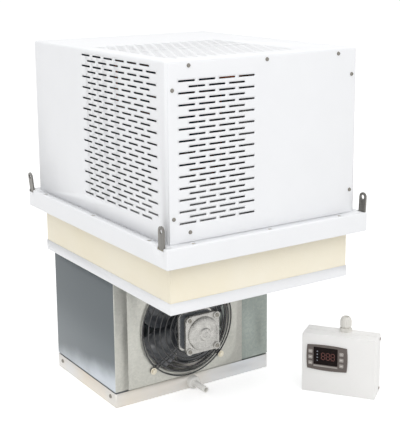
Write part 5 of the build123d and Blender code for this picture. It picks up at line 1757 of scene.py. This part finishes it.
@dataclass
class Circuit:
    """The refrigerant circuit: round copper pipes with bent corners, and the spun filter drier."""

    runs: tuple[tuple[str, str, float, float, tuple[Triple, ...]], ...] = (
        ("suction_line", "suction_pipe", 5.0, 16.0,
         ((14, 128, 100), (144, 128, 100), (144, 128, -140), (144, 209, -140), (100.5, 209, -140))),
        ("discharge_line", "discharge_pipe", 4.0, 12.0,
         ((-80, 150, 219), (-80, 150, 316), (-80, -239, 316), (188, -239, 316), (188, -225, 316))),
        ("liquid_line", "liquid_pipe", 3.0, 9.0,
         ((188, 72, 75), (188, 94, 75), (30, 94, 75), (30, -150, 75), (-130, -150, 75), (-130, -150, 100))),
        ("capillary_line", "capillary_tube", 1.6, 8.0,
         ((-130, -150, 190), (-130, -150, 235), (-130, 112, 235), (156, 112, 235), (156, 112, -180),
          (156, 209, -180), (100.5, 209, -180))),
    )
    drier: Pair = (-130.0, -150.0)
    drier_profile: Profile = (
        (0.0, 100.0), (3.6, 100.0), (4.2, 104.0), (7.5, 108.0), (10.6, 113.0), (11.0, 116.0), (11.0, 176.0),
        (10.4, 179.0), (6.5, 184.0), (3.0, 187.0), (2.2, 190.0), (0.0, 190.0),
    )

    def build(self, shop: Workshop) -> None:
        """Makes the pipes and the drier."""
        for name, node, radius, bend, corners in self.runs:
            line = tube(route(corners, bend), radius, 16)
            shop.piece(name, line, COPPER, replaces=[node], smooth=60.0)
        drier = revolved(self.drier_profile, 36).placed(Place((*self.drier, 0.0)))
        shop.piece("drier_shell", drier, COPPER, replaces=["filter_drier"], smooth=50.0)


@dataclass
class Compressor:
    """The hermetic compressor on its base plate and rubber mounts."""

    middle: Pair = (-60.0, 140.0)
    shell_profile: Profile = (
        (0.0, 52.0), (42.0, 52.0), (60.0, 55.0), (70.0, 61.0), (75.0, 71.0), (76.3, 86.0), (76.3, 149.0), (78.0, 150.5),
        (78.0, 154.5), (75.6, 156.5), (75.2, 184.0), (72.0, 200.0), (63.0, 211.0), (44.0, 218.0), (20.0, 221.2),
        (0.0, 222.0),
    )
    mount_profile: Profile = (
        (0.0, 37.0), (11.0, 37.0), (11.0, 39.6), (8.6, 41.4), (8.6, 44.6), (11.0, 46.4), (11.0, 49.0), (0.0, 49.0),
    )
    mount_x: Pair = (-140.0, 20.0)
    mount_y: Pair = (80.0, 200.0)
    base: Extent = (190.0, 150.0, 49.0, 52.0)
    cover_front: float = 61.7
    cover_z: float = 142.0

    def build(self, shop: Workshop) -> None:
        """Makes the shell, the terminal cover, the base plate, the mounts and their bolts."""
        x, y = self.middle
        shell = revolved(self.shell_profile, 72).placed(Place((x, y, 0.0)))
        shop.piece("compressor_body", shell, BLACK_PAINT, replaces=["compressor_shell"], smooth=50.0)
        cover = slab(rounded_outline(50.0, 60.0, 6.0), -4.0, 24.0, 3.5, 5)
        cover = cover.placed(facing_front(x, self.cover_front, self.cover_z))
        shop.piece("terminal_cap", cover, BLACK_PLASTIC, replaces=["compressor_terminal_cover"])
        width, depth, low, high = self.base
        plate = slab(rounded_outline(width, depth, 14.0) + (x, y), low, high, 0.6)
        shop.piece("compressor_foot", plate, GALVANISED, replaces=["compressor_base"])
        spots = [Place((mount_x, mount_y, 0.0)) for mount_x in self.mount_x for mount_y in self.mount_y]
        mounts = joined([revolved(self.mount_profile, 28).placed(spot) for spot in spots])
        shop.piece("mount_grommets", mounts, RUBBER, replaces=["compressor_mounts"], smooth=35.0)
        bolts = joined([hexagon_head(6.5, high, high + 5.0).placed(spot) for spot in spots])
        shop.piece("mount_bolts", bolts, ZINC_SCREW, smooth=30.0)


@dataclass
class FinCoil:
    """A coil: thin fins in a row on straight tubes, which return bends join at the ends."""

    name: str
    nodes: tuple[str, str]
    low: Triple
    high: Triple
    axis: int
    pitch: float
    bend_side: Triple
    bend_low: tuple[Triple, ...]
    bend_high: tuple[Triple, ...]
    fin: float = 0.35
    tube_radius: float = 4.8
    half_spacing: float = 12.7

    def fin_shape(self) -> Shape:
        """The fins as closed boxes: one box of eight points, moved by whole pitches along the axis.

        Returns:
            All the fins.
        """
        low, high = np.array(self.low, float), np.array(self.high, float)
        count = int((high[self.axis] - low[self.axis]) / self.pitch)
        size = high - low
        size[self.axis] = self.fin
        corners = np.array([(x, y, z) for x in (0, 1) for y in (0, 1) for z in (0, 1)], float) * size
        shift = np.zeros((count, 1, 3))
        shift[:, 0, self.axis] = (np.arange(count) + 0.5) * self.pitch
        points = (low + corners[None] + shift).reshape(-1, 3)
        box = np.array([(0, 1, 3, 2), (4, 6, 7, 5), (0, 4, 5, 1), (2, 3, 7, 6), (0, 2, 6, 4), (1, 5, 7, 3)])
        faces = (box[None] + 8 * np.arange(count)[:, None, None]).reshape(-1, 4)
        return Shape(points, [faces])

    def bend_shape(self, middle: Triple, outward: float) -> Shape:
        """A half circle of tube: middle + spacing cos a to the side + spacing sin a outward.

        Args:
            middle: Middle between the two tubes.
            outward: -1 or 1, the way that it bulges.

        Returns:
            The closed bend.
        """
        side = np.array(self.bend_side, float)
        out = np.zeros(3)
        out[self.axis] = outward
        angle = np.linspace(0.0, TURN / 2, 13)[:, None]
        path = np.array(middle) + self.half_spacing * (np.cos(angle) * side + np.sin(angle) * out)
        return tube(path, self.tube_radius, 14)

    def build(self, shop: Workshop) -> None:
        """Makes the fins, and the tubes with their return bends."""
        shop.piece(
            f"{self.name}_fin_stack", self.fin_shape(), FIN_METAL, replaces=[self.nodes[0]],
            smooth=20.0,
        )
        shapes = [self.bend_shape(middle, -1.0) for middle in self.bend_low]
        shapes += [self.bend_shape(middle, 1.0) for middle in self.bend_high]
        side = np.array(self.bend_side, float) * self.half_spacing
        for middle in self.bend_low:
            for sign in SIGNS:
                start = np.array(middle) + sign * side
                end = start.copy()
                end[self.axis] = self.bend_high[0][self.axis]
                shapes.append(tube(np.array([start, end]), self.tube_radius, 12))
        shop.piece(f"{self.name}_tubes", joined(shapes), COPPER, replaces=[self.nodes[1]], smooth=60.0)


@dataclass
class CondenserFanSet:
    """The shroud before the condenser coil, the fan's motor and the bracket that carries it."""

    middle: Pair = (-75.0, 195.0)
    shroud_x: float = 139.0
    shroud_depth: float = 31.0
    extent: Extent = (-145.5, 148.5, -135.0, 135.0)
    opening: float = 112.0
    roll: float = 3.0
    shroud_sheet: float = 1.2
    motor_x: float = 103.0
    motor_profile: Profile = (
        (0, 21), (5.4, 21), (5.4, 0), (37, 0), (39, 1), (39.6, 3), (39.6, 9), (38.4, 10), (38.4, 27), (39.6, 28),
        (39.6, 32), (38.6, 35), (35, 37.6), (28, 39.2), (12, 39.6), (11, 40), (0, 40),
    )
    bracket_face: float = 105.0
    bracket_half: float = 30.0
    bracket_top: float = 40.0
    bracket_foot: float = 32.0
    bracket_bore: float = 9.0
    bracket_sheet: float = 2.0
    base_z: float = 37.0
    fold: float = 3.0

    def shroud_shape(self) -> Shape:
        """The shroud's plate with a rolled opening, and its four sides, in a frame that faces the motor.

        Returns:
            The open sheet.
        """
        left, right, bottom, top = self.extent
        count, edge = 72, self.opening + self.roll
        plate = holed_plate(self.extent, hole_outline(edge, count))
        profile = [*rolled(edge, self.roll, 4), (self.opening, -3 * self.roll)]
        ring = [(left, bottom), (0, bottom), (right, bottom), (right, top), (0, top), (left, top)]
        sides = [[(u, v, w) for u, v in ring] for w in (0.0, -self.shroud_depth)]
        return joined([plate, round_collar(profile, count), banded(sides)])

    def bracket_shape(self) -> Shape:
        """The bracket: an upright with a bore, a quarter-round fold and a foot, in a frame that faces the coil.

        Returns:
            The open sheet.
        """
        half, low = self.bracket_half, self.base_z + self.fold - self.middle[1]
        plate = holed_plate((-half, half, low, self.bracket_top), hole_outline(self.bracket_bore, 24))
        profile = [*rolled(low, self.fold, 5), (low - self.fold, -self.bracket_foot)]
        foot = lattice(np.array([[(u, v, w) for u in (-half, 0.0, half)] for v, w in profile]))
        return joined([plate, foot])

    def build(self, shop: Workshop) -> None:
        """Makes the shroud, the motor and the bracket."""
        y, z = self.middle
        toward_motor = facing_side(-1, self.shroud_x, y, z)
        shop.piece(
            "shroud_sheet", self.shroud_shape().placed(toward_motor), GALVANISED,
            replaces=["condenser_shroud"], sheet=self.shroud_sheet, outward=(-1, 0, 0),
        )
        toward_coil = facing_side(1, self.bracket_face, y, z)
        shop.piece(
            "bracket_sheet", self.bracket_shape().placed(toward_coil), GALVANISED,
            replaces=["condenser_motor_bracket"], sheet=self.bracket_sheet, outward=(1, 0, 0),
        )
        motor = revolved(self.motor_profile, 48).placed(facing_side(-1, self.motor_x, y, z))
        shop.piece("condenser_motor_can", motor, CAST_METAL, replaces=["condenser_fan_motor"])


@dataclass
class ElectricalBox:
    """The closed box for the wiring, with an overhanging lid."""

    middle: Pair = (45.0, -232.3)
    width: float = 110.0
    depth: float = 48.0
    bottom: float = 37.0
    top: float = 247.0
    lid: float = 2.0
    overhang: float = 1.5

    def build(self, shop: Workshop) -> None:
        """Makes the box with its lid."""
        body = slab(rounded_outline(self.width, self.depth, 4.0) + self.middle, self.bottom, self.top)
        size = (self.width + 2 * self.overhang, self.depth + 2 * self.overhang)
        lid = slab(rounded_outline(*size, 5.0) + self.middle, self.top, self.top + self.lid, 0.8)
        shop.piece("wiring_box", joined([body, lid]), GREY_PLASTIC, replaces=["electrical_box"])


@dataclass
class KeypadBox:
    """The keypad box that stands beside the unit."""

    corner: Pair = (174.0, -153.0)
    turn: float = -54.0
    width: float = 152.0
    height: float = 126.0
    cover: float = 25.0
    base: float = 25.0
    radius: float = 3.0
    bezel_width: float = 82.0
    bezel_height: float = 50.0
    bezel_thickness: float = 3.0
    bezel_bow: float = 2.2
    bezel_side_bow: float = 1.5
    bezel_left: float = 11.5
    bezel_top_inset: float = 24.0
    window: Pair = (50.0, 37.0)
    glass: float = 0.35
    seam: float = 0.7
    window_left: float = 13.5
    window_top: float = 2.5
    button: Pair = (8.6, 7.8)
    button_pitch: float = 12.4
    button_left: float = 7.0
    button_right: float = 10.5
    button_proud: float = 0.6
    edge: float = 1.6
    back_gap: float = 0.6
    mark: Triple = (4.6, 1.2, 0.5)
    mark_height: float = 0.12
    gland_x: float = 82.0
    gland_foot: Pair = (13.0, 8.0)
    gland_bore: float = 6.0
    screw_inset: float = 10.0

    def place(self) -> Place:
        """Frame of the box's front: x along it from the left, y up from the floor, z out of it.

        Returns:
            The frame.
        """
        turn = math.radians(self.turn)
        along = (math.cos(turn), math.sin(turn), 0.0)
        outward = (math.sin(turn), -math.cos(turn), 0.0)
        return Place((*self.corner, FLOOR_Z), along, (0.0, 0.0, 1.0), outward)

    def shell(self, low: float, high: float, edge: float) -> Shape:
        """One half of the box between two depths, its outer edge rounded and its inner edge set in as a seam.

        Args:
            low: Depth of the inner edge.
            high: Depth of the outer face.
            edge: Radius of the outer edge.

        Returns:
            The closed half.
        """
        middle = (self.width / 2, self.height / 2)
        outline = rounded_outline(self.width, self.height, self.radius) + middle
        body = slab(outline, low + self.seam, high, edge, 5)
        seam = self.seam
        small = rounded_outline(self.width - 2 * seam, self.height - 2 * seam, self.radius - seam) + middle
        return joined([body, slab(small, low, low + seam)])

    def bowed(self, grow: float, height: float) -> np.ndarray:
        """Outline of the bezel: four shallow arcs, each a parabola along its side.

        Args:
            grow: How far the outline lies outside the bezel's own.
            height: Height of its points above the cover.

        Returns:
            Array of points.
        """
        share = np.linspace(-1.0, 1.0, 17)[:-1]
        half_w, half_h = self.bezel_width / 2 + grow, self.bezel_height / 2 + grow
        bow = 1 - share**2
        low = np.column_stack([share * half_w, -half_h - self.bezel_bow * bow])
        right = np.column_stack([half_w + self.bezel_side_bow * bow, share * half_h])
        points = np.vstack([low, right, -low, -right])
        middle_y = self.height - self.bezel_top_inset - self.bezel_height / 2
        middle = (self.bezel_left + self.bezel_width / 2, middle_y)
        return level(points + middle, height)

    def build(self, shop: Workshop) -> None:
        """Makes the box's pieces."""
        place = self.place()
        cover = self.shell(-self.cover, 0.0, self.edge).placed(place)
        shop.piece("keypad_cover", cover, BOX_PLASTIC, replaces=["control_cover"])
        inward = tuple(-c for c in place.outward)
        flip = Place(place.moved(0, 0, -self.cover - self.base).origin, place.across, place.upward, inward)
        base = self.shell(-self.base + self.back_gap, 0.0, self.edge).placed(flip)
        shop.piece("keypad_base", base, BOX_PLASTIC, replaces=["control_base"])
        t = self.bezel_thickness
        rows = [self.bowed(grow, height) for grow, height in ((0, 0), (0, t - 0.8), (-0.3, t - 0.2), (-0.9, t))]
        shop.piece("keypad_frame", lofted(rows).placed(place), KEYPAD_GREY, replaces=["keypad_bezel"])
        bezel_top = self.height - self.bezel_top_inset
        window_x = self.bezel_left + self.window_left + self.window[0] / 2
        window_y = bezel_top - self.window_top - self.window[1] / 2
        glass = slab(rounded_outline(*self.window, 1.2), t, t + self.glass, 0.2)
        glass = glass.placed(place.moved(window_x, window_y, 0))
        shop.piece("display_glass", glass, WINDOW_BLACK, replaces=["display_window"])
        middle_y = bezel_top - self.bezel_height / 2
        columns = (self.bezel_left + self.button_left, self.bezel_left + self.bezel_width - self.button_right)
        key = slab(rounded_outline(*self.button, 1.6), -0.3, self.button_proud, 0.4)
        mark = slab(rounded_outline(*self.mark), self.button_proud, self.button_proud + self.mark_height)
        for number, (column, row) in enumerate(((column, row) for column in columns for row in range(3)), 1):
            spot = place.moved(column, middle_y + (1 - row) * self.button_pitch, t)
            body = f"button_{number}"
            shop.piece(f"key_{number}", key.placed(spot), KEY_GREY, body, [f"keypad_{body}"])
            shop.piece(f"key_mark_{number}", mark.placed(spot), KEY_MARK, body)
        self.display(shop, place.moved(window_x, window_y, t + self.glass))
        self.gland(shop, place)
        self.screws(shop, place)

    def display(self, shop: Workshop, place: Place) -> None:
        """Makes three digits of seven bars, a column of marks at their left, and the strip below the window.

        Args:
            shop: The workshop.
            place: Frame in the middle of the window's face.
        """
        wide, tall, bar, lift = 7.0, 14.0, 1.5, self.mark_height
        lying = slab(rounded_outline(wide - bar, bar, 0.5, 2), 0.0, lift)
        standing = slab(rounded_outline(bar, tall / 2 - bar, 0.5, 2), 0.0, lift)
        shapes = []
        for x in (-5.0, 5.0, 15.0):
            shapes += [lying.placed(place.moved(x, y, 0)) for y in (-tall / 2, 0.0, tall / 2)]
            sides = [(x + sx * wide / 2, sy * tall / 4) for sx, sy in CORNERS]
            shapes += [standing.placed(place.moved(*spot, 0)) for spot in sides]
        shop.piece("display_digits", joined(shapes), DIGIT_RED)
        mark = slab(rounded_outline(2.6, 2.2, 0.6, 2), 0.0, lift)
        marks = [mark.placed(place.moved(-17.0, y, 0)) for y in (-10.0, -3.5, 3.0, 9.5)]
        shop.piece("display_marks", joined(marks), WINDOW_PALE)
        strip = slab(rounded_outline(self.window[0], 3.0, 0.8, 3), -0.5, 0.0)
        low = -self.window[1] / 2 - 3.2
        shop.piece("bezel_strip", strip.placed(place.moved(0.0, low, 0.0)), KEY_GREY)

    def gland(self, shop: Workshop, place: Place) -> None:
        """Makes the cable gland on top of the box.

        Args:
            shop: The workshop.
            place: Frame of the box's front.
        """
        foot = place.moved(self.gland_x, self.height, -self.cover - self.base / 2)
        upright = Place(foot.origin, place.across, place.outward, (0.0, 0.0, 1.0))
        (radius, low), bore, rib = self.gland_foot, self.gland_bore, 0.035
        neck = [(bore, low), (8.6, low), (8.6, 11.0), (bore, 11.0), (bore, low)]
        body = joined([hexagon_head(radius, 0.0, low), revolved(neck, 32)]).placed(upright)
        shop.piece("gland_foot", body, GLAND_PLASTIC, replaces=["gland_body"], smooth=30.0)
        rows = [(bore, 11.0, 0.0), (11.4, 11.0, rib), (11.6, 20.5, rib), (11.2, 23.5, rib), (10.4, 26.5, 0.01)]
        rows += [(9.0, 29.3, 0.0), (7.6, 30.6, 0.0), (6.4, 31.0, 0.0), (bore, 30.6, 0.0)]
        nut = fluted(rows, 16).placed(upright)
        shop.piece("gland_dome", nut, GLAND_PLASTIC, replaces=["gland_nut"], smooth=50.0)

    def screws(self, shop: Workshop, place: Place) -> None:
        """Makes the four screws in the box's sides.

        Args:
            shop: The workshop.
            place: Frame of the box's front.
        """
        screw = pan_screw(3.2, 1.0)
        shapes = []
        depth = -self.cover - self.base * 2 / 3
        for x, sign in ((0.0, -1.0), (self.width, 1.0)):
            for y in (self.screw_inset, self.height - self.screw_inset):
                spot = place.moved(x, y, depth)
                outward = tuple(sign * c for c in place.across)
                shapes.append(screw.placed(Place(spot.origin, place.outward, (0, 0, 1), outward)))
        shop.piece(
            "keypad_box_screws", joined(shapes), BRONZE_SCREW, replaces=["control_screws"], smooth=30.0
        )


@dataclass
class Studio:
    """Floor, light and camera."""

    eye: Triple = (-1078.77, -1699.53, 889.4)
    right: Triple = (0.83706108, -0.54703821, -0.00882861)
    up: Triple = (0.11347036, 0.1577977, 0.98093036)
    forward: Triple = (0.53521325, 0.82210041, -0.19415894)
    focal_pixels: float = 1021.17
    frame_pixels: tuple[int, int] = (400, 430)
    principal: Pair = (200.0, 155.0)
    sensor: float = 36.0
    clip_end: float = 50.0
    floor_size: float = 30.0
    floor_grey: float = 0.9
    floor_lift: float = 0.42
    world_light: float = 0.72
    lamps: tuple[tuple[str, Triple, float, float], ...] = (
        ("key", (-0.7, -2.7, 2.5), 2.2, 32.0),
        ("left", (-2.7, -0.6, 2.3), 2.0, 13.0),
        ("top", (0.0, 0.0, 3.2), 2.6, 16.0),
    )

    def seen_directly(self, tree: Tree) -> bpy.types.NodeSocket:
        """A number that is 1 for camera, glossy and transmission rays and 0 for light on the unit.

        Args:
            tree: The tree that it goes into.

        Returns:
            The number's socket.
        """
        path = add_node(tree, "LightPath")
        total = path.outputs["Is Camera Ray"]
        for label in ("Is Glossy Ray", "Is Transmission Ray"):
            either = add_node(tree, "Math", operation="MAXIMUM")
            tree.links.new(total, either.inputs[0])
            tree.links.new(path.outputs[label], either.inputs[1])
            total = either.outputs["Value"]
        return total

    def floor_material(self) -> Material:
        """A pale floor, lifted to white for the eye alone, on which the shadow still shows.

        Returns:
            The material.
        """
        grey, white = (*[self.floor_grey] * 3, 1.0), (1.0, 1.0, 1.0, 1.0)
        values = {"Base Color": grey, "Roughness": 0.9, "Specular IOR Level": 0.0, "Emission Color": white}
        material, tree, shader = new_material("studio_floor", values)
        lift = add_node(tree, "Math", {1: self.floor_lift}, operation="MULTIPLY")
        tree.links.new(self.seen_directly(tree), lift.inputs[0])
        tree.links.new(lift.outputs["Value"], shader.inputs["Emission Strength"])
        return material

    def world(self) -> None:
        """A world that looks white and lights the unit at a plain level."""
        world = bpy.data.worlds.new("studio_world")
        bpy.context.scene.world = world
        world.use_nodes = True
        tree = world.node_tree
        background = tree.nodes["Background"]
        background.inputs["Color"].default_value = (1.0, 1.0, 1.0, 1.0)
        strength = add_node(tree, "MapRange", {"To Min": self.world_light, "To Max": 1.0})
        tree.links.new(self.seen_directly(tree), strength.inputs["Value"])
        tree.links.new(strength.outputs["Result"], background.inputs["Strength"])

    def build(self) -> None:
        """Sets up the studio."""
        floor_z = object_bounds()[0][2]
        mesh = bpy.data.meshes.new("studio_floor")
        size = self.floor_size
        mesh.from_pydata(level(rectangle((-size, size, -size, size)), floor_z).tolist(), [], [(0, 1, 2, 3)])
        floor = show("studio_floor", mesh)
        mesh.materials.append(self.floor_material())
        floor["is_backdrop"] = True
        for name, place, width, power in self.lamps:
            self.light(name, place, width, power)
        self.world()
        self.camera(floor_z)
        bpy.context.scene.view_settings.view_transform = "Standard"

    def light(self, name: str, place: Triple, size: float, power: float) -> None:
        """Adds a square area lamp that points at the middle of the unit.

        Args:
            name: Name of the lamp.
            place: Where it hangs, in metres.
            size: Its width.
            power: Its power in watts.
        """
        lamp = bpy.data.lights.new(name, "AREA")
        lamp.size = size
        lamp.energy = power
        thing = show(name, lamp)
        thing.location = place
        thing.rotation_euler = (Vector() - Vector(place)).to_track_quat("-Z", "Y").to_euler()
        thing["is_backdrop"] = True

    def camera(self, floor_z: float) -> None:
        """Adds the camera at the place, direction and focal length fitted to the photograph.

        Args:
            floor_z: Height of the floor in metres.
        """
        data = bpy.data.cameras.new("camera")
        long_side = max(self.frame_pixels)
        data.sensor_width = self.sensor
        data.lens = self.focal_pixels * data.sensor_width / long_side
        data.shift_x = (self.frame_pixels[0] / 2 - self.principal[0]) / long_side
        data.shift_y = (self.principal[1] - self.frame_pixels[1] / 2) / long_side
        data.clip_end = self.clip_end
        thing = show("camera", data)
        x, y, z = self.eye
        turn = Matrix([self.right, self.up, [-c for c in self.forward]]).transposed()
        thing.matrix_world = Matrix.Translation((x * MM, y * MM, floor_z + z * MM)) @ turn.to_4x4()
        bpy.context.scene.camera = thing


CONDENSER_COIL = FinCoil(
    "condenser", ("condenser_fins", "condenser_return_bends"), (170.3, -223.5, 60.3), (205.7, 70.5, 329.7), 1, 2.4,
    (0.0, 0.0, 1.0), tuple((188.0, -225.0, z) for z in (105.0, 195.0, 285.0)),
    tuple((188.0, 72.0, z) for z in (105.0, 195.0, 285.0)),
)
EVAPORATOR_COIL = FinCoil(
    "evaporator", ("evaporator_fins", "evaporator_return_bends"), (-166.0, 178.3, -323.7), (99.0, 239.7, -100.3),
    0, 4.2, (0.0, 1.0, 0.0), tuple((-167.5, 209.0, z) for z in (-137.3, -212.0, -286.7)),
    tuple((100.5, 209.0, z) for z in (-128.4, -203.0, -277.7)),
)


def main() -> None:
    """Builds every sub-assembly in order and reports what it made."""
    logging.basicConfig(level=logging.INFO, format="%(message)s")
    shop = Workshop()
    Casing().build(shop)
    CeilingFlange().build(shop)
    Plug().build(shop)
    Evaporator().build(shop)
    FanGuard().build(shop)
    FanMotor().build(shop)
    AxialFan(
        "evaporator_fan_wheel", facing_front(-19.0, 18.0, -220.0), "evaporator_fan",
        "evaporator_fan", 27.0, 26.0, 97.0, 4.0, 0.0, 52.0,
    ).build(shop)
    AxialFan(
        "condenser_fan_wheel", facing_side(1, 119.0, -75.0, 195.0), "condenser_fan",
        "condenser_fan", 30.0, 24.0, 108.0, 4.0, 36.0, 2.0,
    ).build(shop)
    Compressor().build(shop)
    Circuit().build(shop)
    CondenserFanSet().build(shop)
    ElectricalBox().build(shop)
    for coil in (CONDENSER_COIL, EVAPORATOR_COIL):
        coil.build(shop)
    shop.dress("condenser_end_plates", GALVANISED)
    KeypadBox().build(shop)
    Studio().build()


if __name__ == "__main__":
    main()
